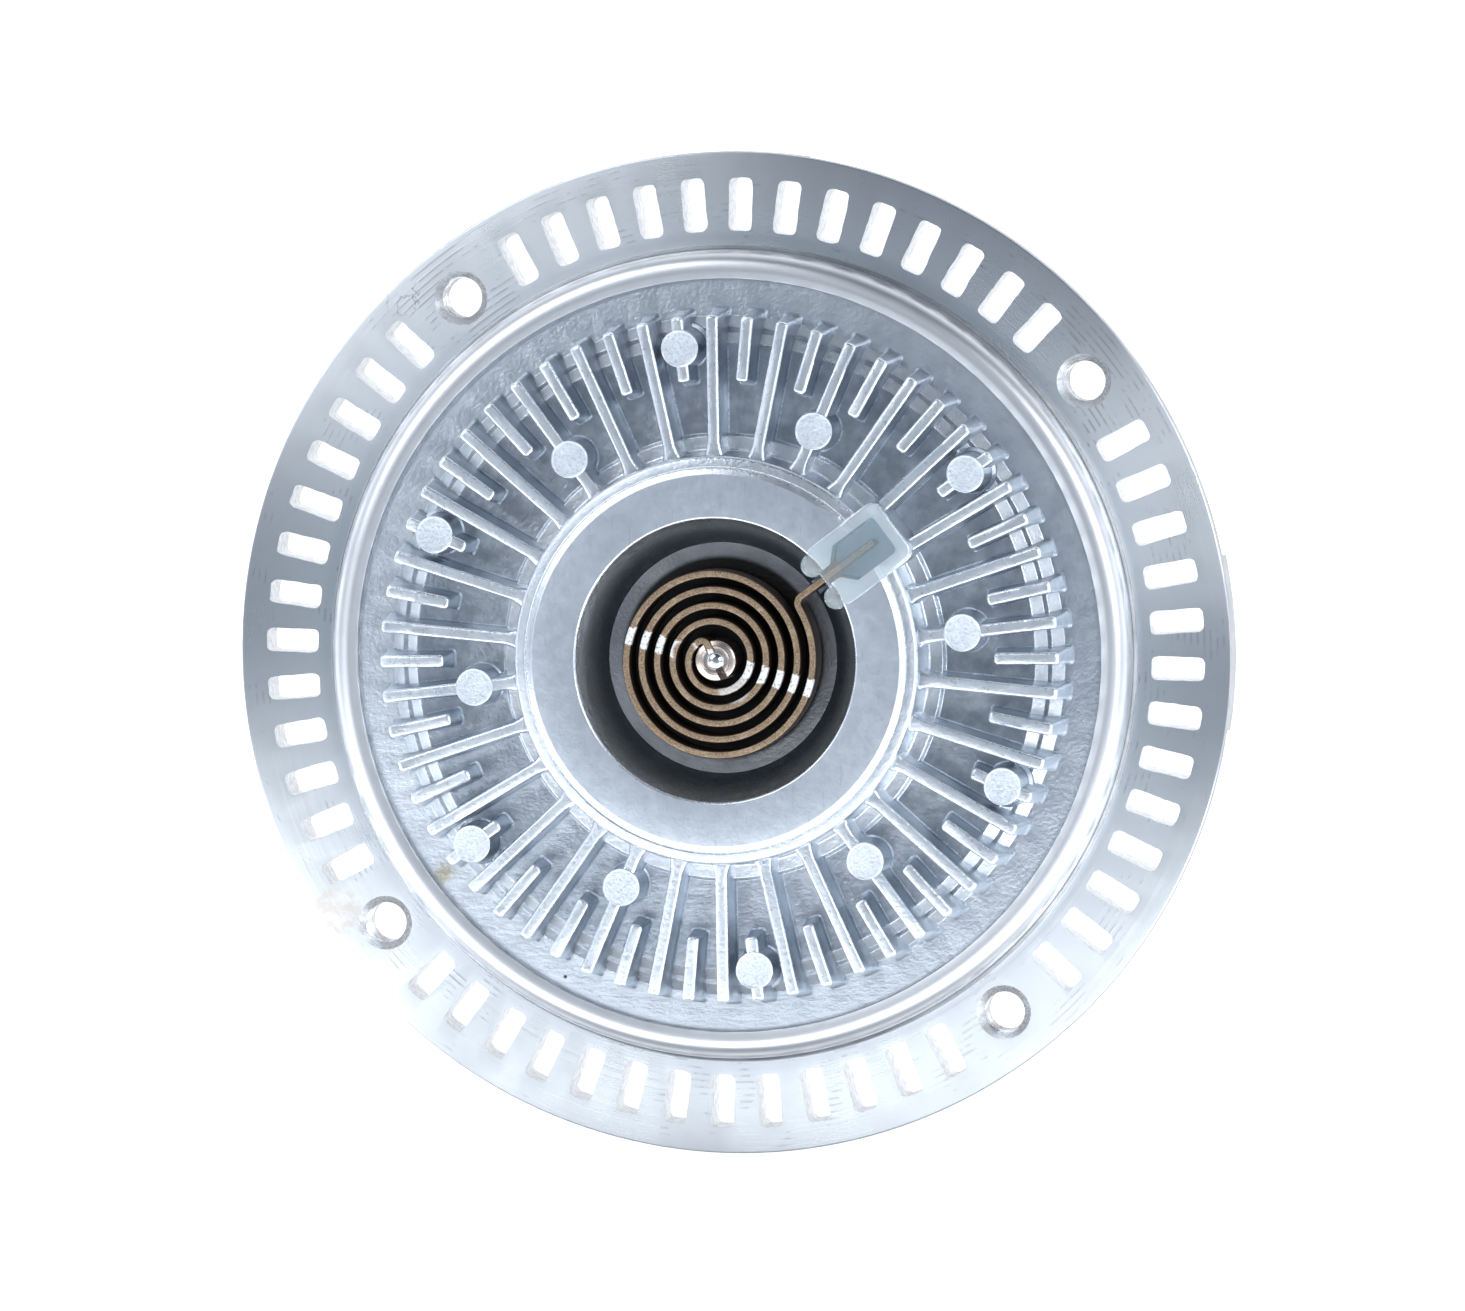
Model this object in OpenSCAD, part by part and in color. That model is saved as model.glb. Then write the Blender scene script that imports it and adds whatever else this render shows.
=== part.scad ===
// Viscous fan clutch. The aluminium housing carries the fan and turns on a ball bearing on the
// input shaft. Fluid held between the ridges of the rotor and of the housing drives it, and the
// bimetal coil on the finned front cover turns the valve that lets that fluid in.
// The axis is +Z, the front faces up, and the origin is the middle of the input hub's seat.

/* [Fan flange] */
// Radial width of the flange outside the housing barrel
flange_w = 16.6; // [15:0.1:20]
// Thickness of the flange
flange_t = 8; // [6:0.5:10]
// Number of fan screws
bolt_count = 4; // [3:1:6]
// Tapping hole of a fan screw
bolt_hole_d = 6.8; // [5:0.1:7.6]
// Chamfer at the mouth of a screw hole
bolt_chamfer = 1.2; // [0.4:0.1:1.6]
// Distance of the screw circle from the flange rim
bolt_edge = 9; // [8:0.1:10]
// Angle of the first fan screw
bolt_angle = 38.4; // [0:0.1:89]
// Width of a cooling slot
slot_w = 4; // [3:0.1:5]
// Corner radius of a slot
slot_corner_r = 1; // [0.4:0.1:1.4]
// Angle between neighbouring slots
slot_pitch = 6; // [5:0.5:10]
// Flange rim left outside the slots
slot_rim = 4.4; // [3:0.1:6]
// Flange left between the barrel and the slots
slot_root = 3.2; // [2:0.1:5]
// Angle taken up by each land on the rim
land_span = 20; // [10:1:40]
// Angle of the first rim land
land_angle = 2.3; // [0:0.1:45]
// Width of the rim's relief on the rear
relief_w = 4; // [2:0.1:6]
// Thickness left at the relieved rim
rim_t = 2.5; // [1.5:0.1:4]

/* [Housing] */
// Wall of the housing round the front cover
barrel_wall = 3.85; // [3.2:0.05:6]
// Height of the rolled lip above the flange face
lip_h = 5.2; // [5:0.1:6.5]
// Rounding of the lip
lip_round = 3; // [2.4:0.1:3.1]
// Reach of the lip over the edge of the cover
lip_overlap = 0.8; // [0.4:0.1:1.2]
// Fillet at the foot of the lip
lip_foot_r = 0.8; // [0.3:0.1:1.4]
// Thickness of the rear wall
rear_wall_t = 4.5; // [3.5:0.1:6]
// Wall of the bearing boss
boss_wall = 5.5; // [4:0.1:8]
// Taper of the barrel towards the rear
barrel_taper = 1.6; // [0:0.1:3]
// Rounding of the rear edge of the barrel
barrel_round = 3; // [1:0.1:4]
// Number of cooling fins on the rear
rear_fin_count = 36; // [24:1:40]
// Thickness of a rear fin at its tip
rear_fin_w = 1.8; // [1.2:0.1:2.4]
// Height of the rear fins near the boss
rear_fin_h = 12; // [6:0.5:13]
// Height of the rear fins near the barrel
rear_fin_rim_h = 5; // [3:0.5:8]

/* [Front cover] */
// Outside diameter of the front cover
cover_d = 129; // [124:0.5:140]
// Depth of the cover's rim from its seat to its front face
cover_rim_h = 9; // [8:0.1:12]
// Height of the cover's rim above the flange face
cover_rise = 3.8; // [3:0.1:4.2]
// Wall of the cover
cover_wall = 3.4; // [2.5:0.1:4]
// Width of the flat rim outside the fins
cover_margin = 6.3; // [5:0.1:8]
// Width of the rim's seat on the separator plate
seat_w = 4.2; // [3:0.1:6]
// Number of steps between the rim and the fin pockets
step_count = 3; // [1:1:4]
// Width of a step
step_w = 2.1; // [1.5:0.1:2.6]
// Slope of a step's riser
step_slope = 0.4; // [0.1:0.1:0.8]
// Height of the pocket floor above the rim
pocket_rise = 3.2; // [2:0.1:4]
// Depth of the seal groove in the rim
cover_seal_depth = 1.8; // [1.2:0.1:2.2]
// Width of the seal groove
cover_seal_w = 2.4; // [2:0.1:3]

/* [Cover fins] */
// Number of pairs of one long and one short fin
fin_pairs = 30; // [20:1:32]
// Angle of the first long fin
fin_angle = 7.5; // [0:0.5:12]
// Thickness of a fin at its top
fin_w = 1.7; // [1.2:0.1:2.2]
// Draft of a fin's sides
fin_draft = 3; // [1:0.5:4]
// Height of the fins above the pocket floor
fin_h = 7; // [5:0.1:9]
// Rounding of a fin's ends
fin_round = 1.6; // [0.5:0.1:2.5]
// Flare at the foot of a fin
fin_foot = 0.6; // [0.2:0.1:0.9]
// Length of the short fins
short_fin_len = 12.2; // [8:0.1:16]
// Diameter of an ejector pad
pad_d = 6.5; // [5:0.1:7]
// Height of an ejector pad above the fins
pad_h = 0.3; // [0.1:0.1:0.6]
// Number of long fins with a pad, and of short fins with one
pad_count = 6; // [3:1:6]
// Distance of the inner pads from the foot of the collar
pad_inner_gap = 5.4; // [4:0.1:7]
// Distance of the outer pads from the fins' outer ends
pad_outer_gap = 5.6; // [4:0.1:7]

/* [Collar] */
// Height of the collar above the fins
collar_rise = 2.4; // [1:0.1:4]
// Width of the collar's flat top
collar_w = 10.5; // [9:0.1:12]
// Rounding of the collar's outer edge
collar_round = 1.2; // [0.5:0.1:2]
// Width of the ledge at the foot of the collar
ledge_w = 2; // [1:0.1:3]
// Height of that ledge above the pocket floor
ledge_h = 1; // [0.5:0.1:2]
// Flare of the recess wall
recess_flare = 4.5; // [2:0.1:6]
// Width of the boss that holds the end of the coil
tail_boss_w = 11.6; // [10:0.1:13]
// Reach of that boss outside the foot of the collar
tail_boss_reach = 1.8; // [1:0.1:3]
// Wall round the pocket in that boss
tail_boss_wall = 2.2; // [1.5:0.1:3]
// Corner radius of that boss
tail_boss_r = 2; // [1:0.1:3]
// Width of the neck between that pocket and the recess
tail_neck_w = 2.6; // [2:0.1:4]
// Length of that neck behind the edge of the recess
tail_neck_len = 1.5; // [1:0.1:3]

/* [Bimetal coil] */
// Thickness of the strip
strip_t = 1.2; // [0.8:0.05:1.3]
// Depth of the strip
strip_h = 6; // [4:0.1:8]
// Radius of the innermost turn
coil_inner_r = 4.3; // [4:0.05:5]
// Radius of the outermost turn
coil_outer_r = 16.8; // [15:0.1:18]
// Number of times that the coil passes its outer end
coil_passes = 5; // [3:1:5]
// Bend at the inner end of the strip
inner_bend_r = 1.1; // [0.8:0.1:1.3]
// Bend at the outer end of the strip
outer_bend_r = 1.4; // [1:0.1:2]
// Room between the coil and the foot of the recess wall
coil_clearance = 2.1; // [1:0.1:4]
// Room under the coil
coil_floor_gap = 1.5; // [0.5:0.1:3]
// Depth of the coil below the top of the collar
coil_sink = 0.6; // [0:0.1:2]
// Thickness of the resin film round the coil's outer end
resin_film_t = 0.4; // [0.2:0.1:0.8]

/* [Valve] */
// Diameter of the valve shaft's slotted head
valve_head_d = 7; // [6.4:0.1:7.2]
// Height of that head above the coil
valve_head_rise = 0.1; // [0:0.1:0.5]
// Diameter of the valve shaft's journal
valve_journal_d = 5.5; // [4.5:0.1:6]
// Depth of the step from the journal to the tenon in the valve arm
valve_tenon_step = 0.8; // [0.5:0.1:1.2]
// Reach of the riveted end outside the journal
valve_rivet_lap = 0.5; // [0.3:0.1:1]
// Angle of the slot in the head
valve_slot_angle = 117; // [90:1:135]
// Depth of the seal groove in the journal
valve_groove_depth = 0.9; // [0.6:0.05:1.1]
// Diameter of the valve boss inside the cover
valve_boss_d = 16; // [13:0.5:18]
// Thickness of the valve arm
arm_t = 0.8; // [0.5:0.1:1.2]
// Width of the valve arm
arm_w = 7; // [5:0.5:8]
// Width of the arm's ring round the journal
arm_ring_w = 3; // [2:0.5:5]
// Angle of the closed valve arm
arm_angle = 217.5; // [180:0.5:270]
// Travel of the valve arm
arm_travel = 30; // [15:1:40]
// Diameter of the fluid port in the separator plate
port_d = 6; // [3:0.5:8]
// Distance of the port from the rim of the rotor
port_edge = 15.5; // [12:0.5:20]
// Overlap of the arm's end round the port
port_overlap = 2.5; // [1:0.5:4]
// Thickness of the separator plate
plate_t = 0.8; // [0.6:0.1:1.5]
// Diameter of a travel stop
stop_d = 4; // [3:0.5:5]
// Distance of the fluid scoop from the rim of the rotor
scoop_edge = 1; // [0.5:0.1:2]

/* [Rotor] */
// Gap between the rotor's rim and the housing
rotor_rim_gap = 0.8; // [0.4:0.1:1.5]
// Thickness of the rotor's web
rotor_t = 4; // [3:0.1:6]
// Diameter of the rotor's hub
rotor_hub_d = 24; // [20:0.5:28]
// Number of ridges on the rotor, and on the housing
ridge_count = 6; // [3:1:7]
// Distance from one ridge to the next on one part
ridge_pitch = 3.2; // [3:0.1:3.6]
// Thickness of a ridge
ridge_w = 1.1; // [0.8:0.05:1.2]
// Height of a ridge
ridge_h = 4.5; // [3:0.1:6]
// Room at the top of a ridge
ridge_gap = 0.5; // [0.3:0.1:0.8]
// Distance of the outermost ridge from the rotor's rim
ridge_edge = 1.9; // [1:0.1:3]
// Gap between the rotor and the separator plate
plate_gap = 2.5; // [2:0.1:4]
// Number of fluid holes in the rotor
rotor_hole_count = 6; // [3:1:8]
// Diameter of a fluid hole
rotor_hole_d = 7; // [4:0.5:9]
// Distance of a fluid hole from the rotor's hub
rotor_hole_gap = 11; // [8:0.5:13]

/* [Input shaft] */
// Diameter of the input hub
hub_d = 38; // [32:0.5:39]
// Thickness of the input hub
hub_t = 8; // [6:0.5:12]
// Chamfer of the hub's edges
hub_edge = 0.8; // [0.4:0.1:1.5]
// Diameter of the centring recess
pilot_d = 22; // [18:0.5:24]
// Depth of the centring recess
pilot_depth = 4; // [2:0.5:5]
// Tapping hole of the central screw
screw_hole_d = 8.5; // [6.8:0.1:10.2]
// Depth of that hole from the hub's face
screw_hole_depth = 26; // [18:1:32]
// Diameter of the shoulder behind the bearing
shoulder_d = 22.5; // [21:0.5:24]
// Length of that shoulder
shoulder_len = 4; // [3:0.1:6]
// Diameter of the rotor's seat
rotor_seat_d = 14; // [12.5:0.1:16]
// Diameter of the riveted end in front of the rotor
shaft_head_d = 17; // [16.5:0.1:19]
// Thickness of the riveted end
shaft_head_t = 1.2; // [0.8:0.1:1.6]

/* [Ball bearing] */
// Bore of the bearing
bearing_bore_d = 17; // [17:0.5:19]
// Outside diameter of the bearing
bearing_d = 40; // [40:0.5:46]
// Width of the bearing
bearing_w = 12; // [11:0.5:14]
// Diameter of a ball
ball_d = 6.75; // [6:0.05:7]
// Number of balls
ball_count = 8; // [6:1:8]
// Thickness of the cage
cage_w = 2; // [1.6:0.1:2.4]
// Thickness of a bearing seal
bearing_seal_t = 1.1; // [0.8:0.1:1.2]
// Depth of the step in the outer ring that holds a seal
seal_step = 0.7; // [0.4:0.1:1]
// Distance of a seal from the face of the bearing
seal_inset = 0.35; // [0.2:0.05:0.5]
// Radius of a cage rivet
cage_rivet_r = 0.6; // [0.4:0.1:0.7]
// Share of a ball's diameter between the ball circle and the land of a ring
land_share = 0.3; // [0.25:0.01:0.35]
// Thickness of the circlip
circlip_t = 1.5; // [1:0.1:2]
// Depth of the circlip's groove
circlip_groove = 1; // [0.6:0.1:1.4]
// Radius of an ear of the circlip
circlip_ear_r = 2.4; // [2:0.1:3]
// Radius of the pliers hole in an ear
circlip_hole_r = 1; // [0.6:0.1:1.4]
// Angle of the gap in the circlip
circlip_gap = 24; // [20:1:40]
// Radial width of the circlip
circlip_w = 3.2; // [2.5:0.1:3.6]

/* [Fits] */
// Radial clearance of the cover in the housing
cover_fit = 0.05; // [0.02:0.01:0.1]
// Radial clearance of the valve journal in its bore
journal_fit = 0.04; // [0.02:0.01:0.08]
// Clearance of a ball in its races
race_fit = 0.04; // [0.02:0.01:0.08]
// Clearance of a ball in its cage
cage_fit = 0.12; // [0.05:0.01:0.2]
// Radial clearance of a bearing seal on the inner ring
seal_fit = 0.08; // [0.04:0.01:0.1]
// Clearance of the strip in the slot of the valve shaft
slot_fit = 0.06; // [0.02:0.01:0.1]
// Gap between faces that pass each other
run_gap = 0.4; // [0.3:0.05:0.6]

/* [Hidden] */
$fn = 96;

// Overlap that joins shapes of one solid, and that carries a cut past a face
bite = 0.5;

// Radii, from the cover outwards and inwards
cover_r = cover_d / 2;
cover_bore_r = cover_r + cover_fit;
barrel_r = cover_bore_r + barrel_wall;
flange_r = barrel_r + flange_w;
bolt_circle_r = flange_r - bolt_edge;
chamber_r = cover_r - seat_w;
rotor_r = chamber_r - rotor_rim_gap;
fin_outer_r = cover_r - cover_margin;
recess_floor_r = coil_outer_r + strip_t / 2 + coil_clearance;
recess_r = recess_floor_r + recess_flare;
collar_r = recess_r + collar_w;
collar_foot_r = collar_r + ledge_w;
bearing_r = bearing_d / 2;
bearing_boss_r = bearing_r + boss_wall;

// Heights, from the seat of the hub to the front
bearing_z0 = hub_t + shoulder_len;
bearing_z1 = bearing_z0 + bearing_w;
boss_rear_z = hub_t + 2 * run_gap;
floor_z = bearing_z1 + rear_wall_t;
rotor_z0 = floor_z + ridge_h + ridge_gap;
rotor_z1 = rotor_z0 + rotor_t;
plate_z0 = rotor_z1 + plate_gap;
plate_z1 = plate_z0 + plate_t;
arm_z0 = plate_z1 + run_gap;
arm_z1 = arm_z0 + arm_t;
rim_z = plate_z1 + cover_rim_h;
flange_z = rim_z - cover_rise;
pocket_z = rim_z + pocket_rise;
fin_z = pocket_z + fin_h;
collar_z = fin_z + collar_rise;
coil_z1 = collar_z - coil_sink;
coil_z0 = coil_z1 - strip_h;
recess_z = coil_z0 - coil_floor_gap;

// Ridges: those of the rotor stand midway between those of the housing
rotor_ridge_r = rotor_r - ridge_edge;
housing_ridge_r = rotor_ridge_r - ridge_pitch / 2;

// Coil: its ends follow from the slot of the valve shaft and from the pocket in the collar
tail_angle = fin_angle + 30;
inner_bend_at = sqrt(pow(coil_inner_r - inner_bend_r, 2) - pow(inner_bend_r, 2));
coil_a0 = valve_slot_angle + atan2(inner_bend_r, inner_bend_at);
coil_a1 = tail_angle + 360 * coil_passes - asin(outer_bend_r / (coil_outer_r + outer_bend_r));
coil_growth = (coil_outer_r - coil_inner_r) / (coil_a1 - coil_a0);
tail_boss_end = collar_foot_r + tail_boss_reach;
tail_pocket_end = tail_boss_end - tail_boss_wall;
tail_pocket_w = tail_boss_w - 2 * tail_boss_wall;
tail_neck_end = recess_r + tail_neck_len;
tail_pocket_start = tail_neck_end + (tail_pocket_w - tail_neck_w);
tail_end = tail_pocket_end - 2 * strip_t;
tail_pocket_z = coil_z0 - run_gap;

// Valve and its seal
journal_r = valve_journal_d / 2;
journal_bore_r = journal_r + journal_fit;
valve_groove_r = journal_r - valve_groove_depth;
valve_seal_section = (journal_bore_r - valve_groove_r) / 2 - journal_fit / 2;
valve_seal_r = (journal_bore_r + valve_groove_r) / 2;
valve_seal_z = (arm_z1 + recess_z) / 2;
valve_rivet_r = journal_r + valve_rivet_lap;
valve_tenon_r = journal_r - valve_tenon_step;
valve_rivet_t = arm_t;
valve_head_z0 = recess_z + run_gap;
valve_head_z1 = coil_z1 + valve_head_rise;
port_r = rotor_r - port_edge;
arm_pad_r = port_d / 2 + port_overlap;
plate_hole_r = valve_rivet_r + arm_ring_w;
roof_r = recess_floor_r - cover_wall / 2;
stop_circle_r = (valve_boss_d / 2 + roof_r) / 2;
stop_offset = asin((arm_w / 2 + stop_d / 2 + run_gap) / stop_circle_r);
return_hole_d = port_d * 2 / 3;
return_r = rotor_r - return_hole_d;

// Cover seal, a round ring in its groove
cover_seal_z = plate_z1 + cover_rim_h / 2;
cover_groove_r = cover_r - cover_seal_depth;
cover_seal_section = (cover_bore_r - cover_groove_r) / 2;

// Bearing
ball_r = ball_d / 2;
ball_circle_r = (bearing_bore_d + bearing_d) / 4;
race_r = ball_r + race_fit;
ring_land = ball_d * land_share;
inner_land_r = ball_circle_r - ring_land;
outer_land_r = ball_circle_r + ring_land;
bearing_mid_z = (bearing_z0 + bearing_z1) / 2;
cage_half_h = bearing_w / 2 - bearing_seal_t - 2 * seal_inset - run_gap / 2;

cast_colour = [0.71, 0.71, 0.74];
turned_colour = [0.80, 0.80, 0.82];
steel_colour = [0.58, 0.59, 0.61];
zinc_colour = [0.68, 0.68, 0.66];
bronze_colour = [0.55, 0.43, 0.33];
resin_colour = [0.72, 0.78, 0.80];
rubber_colour = [0.08, 0.08, 0.09];

// Points of an arc about c
function arc(c, r, a0, a1, n) = [for (i = [0 : n]) c + r * [
    cos(a0 + (a1 - a0) * i / n),
    sin(a0 + (a1 - a0) * i / n)
]];

// A point given by its radius and its angle
function polar(r, a) = r * [cos(a), sin(a)];

// Outline of a box with rounded corners
function round_box(x0, x1, y0, y1, r) = concat(
    arc([x1 - r, y1 - r], r, 0, 90, 4),
    arc([x0 + r, y1 - r], r, 90, 180, 4),
    arc([x0 + r, y0 + r], r, 180, 270, 4),
    arc([x1 - r, y0 + r], r, 270, 360, 4)
);

// Direction of a path at one of its points
function heading(p, i) =
    let (d = p[min(i + 1, len(p) - 1)] - p[max(i - 1, 0)])
    d / norm(d);

// Outline of a strip along a path
function strip(p, t) = concat(
    [for (i = [0 : len(p) - 1]) let (h = heading(p, i)) p[i] + t / 2 * [-h[1], h[0]]],
    [for (i = [len(p) - 1 : -1 : 0]) let (h = heading(p, i)) p[i] - t / 2 * [-h[1], h[0]]]
);

// Middle line of the bimetal strip: tang, inner bend, spiral, outer bend and tail
coil_step = 9;
coil_path = concat(
    [polar(strip_t / 2, valve_slot_angle)],
    arc(
        polar(inner_bend_at, valve_slot_angle) + polar(inner_bend_r, valve_slot_angle + 90),
        inner_bend_r, valve_slot_angle - 90, coil_a0, 6
    ),
    [for (a = [coil_a0 + coil_step : coil_step : coil_a1 - coil_step / 2])
        polar(coil_inner_r + coil_growth * (a - coil_a0), a)],
    arc(
        polar(coil_outer_r + outer_bend_r, coil_a1),
        outer_bend_r, coil_a1 + 180, tail_angle + 360 * coil_passes + 90, 6
    ),
    [polar(tail_end, tail_angle)]
);

// A ring with a rectangular section
module ring(r0, r1, z0, z1) {
    rotate_extrude() translate([r0, z0]) square([r1 - r0, z1 - z0]);
}

// Concentric ridges of the rotor or of the housing
module ridges(r, z) {
    for (i = [0 : ridge_count - 1])
        translate([r - i * ridge_pitch - ridge_w / 2, z]) square([ridge_w, ridge_h + bite]);
}

// A straight fin along +X, thicker at its root by the draft and flared at its foot
module fin(r0, r1, z_root, z_foot, z_top, w) {
    slope = tan(fin_draft);
    foot_w = w / 2 + abs(z_top - z_foot) * slope;
    way = sign(z_top - z_foot);
    dip = bite / 2;
    flare_w = foot_w + fin_foot + dip;
    translate([r0, 0, 0]) rotate([90, 0, 90]) linear_extrude(r1 - r0) polygon([
        [-flare_w, z_root],
        [-flare_w, z_foot - way * dip],
        [-foot_w, z_foot + way * fin_foot],
        [-w / 2, z_top],
        [w / 2, z_top],
        [foot_w, z_foot + way * fin_foot],
        [flare_w, z_foot - way * dip],
        [flare_w, z_root]
    ]);
}

// Cooling slot across the flange, along +X
module slot() {
    translate([0, 0, flange_z - flange_t - bite]) linear_extrude(flange_t + 2 * bite) polygon(
        round_box(barrel_r + slot_root, flange_r - slot_rim, -slot_w / 2, slot_w / 2, slot_corner_r)
    );
}

// The slots fill each sector between two fan screws, 1.5 pitches or more clear of them
module flange_holes() {
    sector = 360 / bolt_count;
    slots = floor(sector / slot_pitch) - 2;
    first = (sector - (slots - 1) * slot_pitch) / 2;
    for (k = [0 : bolt_count - 1]) rotate(bolt_angle + k * sector) {
        translate([bolt_circle_r, 0, flange_z - flange_t - bite])
            cylinder(d = bolt_hole_d, h = flange_t + 2 * bite);
        translate([bolt_circle_r, 0, flange_z - bolt_chamfer])
            cylinder(d1 = bolt_hole_d, d2 = bolt_hole_d + 4 * bolt_chamfer, h = 2 * bolt_chamfer);
        for (i = [0 : slots - 1]) rotate(first + i * slot_pitch) slot();
    }
}

// Half section of the turned and cast body of the housing
module housing_section() {
    difference() {
        union() {
            polygon(concat(
                [[bearing_r - bite, boss_rear_z], [bearing_boss_r, boss_rear_z]],
                [[bearing_boss_r, bearing_z1]],
                arc([barrel_r - barrel_taper - barrel_round, bearing_z1 + barrel_round],
                    barrel_round, -90, 0, 5),
                [[barrel_r, flange_z - flange_t], [flange_r - relief_w, flange_z - flange_t]],
                [[flange_r, flange_z - rim_t], [flange_r, flange_z]],
                [[barrel_r, flange_z], [barrel_r, flange_z + lip_h - lip_round]],
                [[bearing_r - bite, flange_z + lip_h - lip_round]]
            ));
            translate([barrel_r - lip_round, flange_z + lip_h - lip_round]) circle(lip_round);
            difference() {
                translate([barrel_r - bite, flange_z - bite])
                    square(lip_foot_r + bite);
                translate([barrel_r + lip_foot_r, flange_z + lip_foot_r]) circle(lip_foot_r);
            }
        }
        translate([0, boss_rear_z - bite]) square([bearing_r, bearing_z1 - boss_rear_z + bite]);
        translate([0, bearing_z0 - circlip_t - run_gap / 4])
            square([bearing_r + circlip_groove, circlip_t + run_gap / 4]);
        translate([0, bearing_z1 - bite]) square([outer_land_r + seal_step, floor_z]);
        translate([0, floor_z]) square([chamber_r, rim_z]);
        translate([0, plate_z0]) square([cover_bore_r, rim_z - plate_z0]);
        translate([0, plate_z0]) square([cover_r - lip_overlap, rim_z]);
    }
    ridges(housing_ridge_r, floor_z - bite);
}

// Radial cooling fins behind the rear wall
module rear_fins() {
    intersection() {
        for (i = [0 : rear_fin_count - 1]) rotate(i * 360 / rear_fin_count)
            fin(bearing_boss_r - 2 * bite, barrel_r, bearing_z1 + bite, bearing_z1,
                bearing_z1 - rear_fin_h, rear_fin_w);
        rotate_extrude() polygon([
            [bearing_boss_r - 2 * bite, bearing_z1 + bite],
            [bearing_boss_r - 2 * bite, bearing_z1 - rear_fin_h],
            [bearing_boss_r + rear_fin_h / 2, bearing_z1 - rear_fin_h],
            [barrel_r - barrel_taper - 2 * barrel_round, bearing_z1 - rear_fin_rim_h],
            [barrel_r - barrel_taper - barrel_round, bearing_z1 + bite]
        ]);
    }
}

// Cast aluminium housing with its fan flange, rolled lip, bearing boss and rear fins
module housing() {
    color(turned_colour) difference() {
        union() {
            rotate_extrude() housing_section();
            rear_fins();
            for (k = [0 : 3]) rotate(land_angle - land_span / 2 + 90 * k)
                rotate_extrude(angle = land_span)
                    translate([flange_r - relief_w - bite, flange_z - flange_t])
                    square([relief_w + bite, flange_t]);
        }
        flange_holes();
    }
}

// Half section of the cover's shell, with its stepped rim, collar, recess and cored inside
module cover_section() {
    riser = pocket_rise / step_count;
    first_step_r = fin_outer_r - step_slope - (step_count - 1) * step_w;
    flare = recess_flare / (collar_z - recess_z);
    inner_wall = cover_wall * sqrt(1 + flare * flare);
    core_z = collar_z - cover_wall;
    difference() {
        polygon(concat(
            [[journal_bore_r, arm_z1 + run_gap], [journal_bore_r, recess_z]],
            [[recess_floor_r, recess_z], [recess_r, collar_z]],
            arc([collar_r - collar_round, collar_z - collar_round], collar_round, 90, 0, 5),
            [[collar_r + step_slope, pocket_z + ledge_h], [collar_foot_r - step_slope, pocket_z + ledge_h]],
            [[collar_foot_r, pocket_z]],
            [for (i = [0 : step_count - 1]) each [
                [first_step_r + i * step_w - step_slope, pocket_z - i * riser],
                [first_step_r + i * step_w, pocket_z - (i + 1) * riser]
            ]],
            [[cover_r, rim_z], [cover_r, plate_z1], [chamber_r, plate_z1]],
            [[chamber_r - step_slope, rim_z - cover_wall]],
            [[fin_outer_r - step_count * step_w, rim_z - cover_wall]],
            [[fin_outer_r - (step_count + 1) * step_w, pocket_z - cover_wall]],
            [[collar_foot_r - cover_wall, pocket_z - cover_wall]],
            [[collar_r - cover_wall, core_z]],
            [[recess_floor_r + inner_wall + flare * (core_z - recess_z), core_z]],
            [[recess_floor_r + inner_wall - flare * cover_wall, recess_z - cover_wall]],
            [[valve_boss_d / 2, recess_z - cover_wall], [valve_boss_d / 2, arm_z1 + run_gap]]
        ));
        translate([cover_groove_r, cover_seal_z - cover_seal_w / 2])
            square([cover_seal_depth + bite, cover_seal_w]);
    }
}

// Half section of what the ends of a row of fins are turned to
module fin_ends(r0, round_inner) {
    polygon(concat(
        [[fin_outer_r + step_slope / 2, rim_z - bite], [fin_outer_r, rim_z]],
        arc([fin_outer_r - fin_round, fin_z - fin_round], fin_round, 0, 90, 4),
        round_inner
            ? arc([r0 + fin_round, fin_z - fin_round], fin_round, 90, 180, 4)
            : [[r0, fin_z]],
        [[r0 - (round_inner ? fin_foot : 0), pocket_z - bite]],
        [[fin_outer_r - step_count * step_w - step_w, pocket_z - bite]],
        [[fin_outer_r - step_count * step_w, rim_z - bite]]
    ));
}

// One row of equal fins
module fin_row(first, r0, round_inner) {
    intersection() {
        for (i = [0 : fin_pairs - 1]) rotate(first + i * 360 / fin_pairs)
            fin(r0 - 2 * bite, fin_outer_r + 2 * bite, rim_z - bite, pocket_z, fin_z, fin_w);
        rotate_extrude() fin_ends(r0, round_inner);
    }
}

// Round pads where the casting was pushed out of its die
module ejector_pads() {
    pitch = 360 / fin_pairs;
    every = floor(fin_pairs / pad_count);
    inner_at = collar_foot_r + pad_inner_gap;
    outer_at = fin_outer_r - pad_outer_gap;
    top_z = fin_z + pad_h;
    foot_r = pad_d / 2 + (top_z - pocket_z) * tan(fin_draft);
    for (k = [0 : pad_count - 1]) {
        rotate(fin_angle + k * every * pitch) translate([inner_at, 0, pocket_z - bite])
            cylinder(r1 = foot_r, d2 = pad_d, h = top_z - pocket_z + bite);
        rotate(fin_angle + (k * every + floor(every / 2) + 0.5) * pitch)
            translate([outer_at, 0, pocket_z - bite])
            cylinder(r1 = foot_r, d2 = pad_d, h = top_z - pocket_z + bite);
    }
}

// Boss across the collar that takes the outer end of the coil
module tail_boss() {
    rotate(tail_angle) translate([0, 0, pocket_z - cover_wall - bite])
        linear_extrude(collar_z - pocket_z + cover_wall + bite) polygon(round_box(
            recess_r + tail_boss_r, tail_boss_end, -tail_boss_w / 2, tail_boss_w / 2, tail_boss_r));
}

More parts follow.
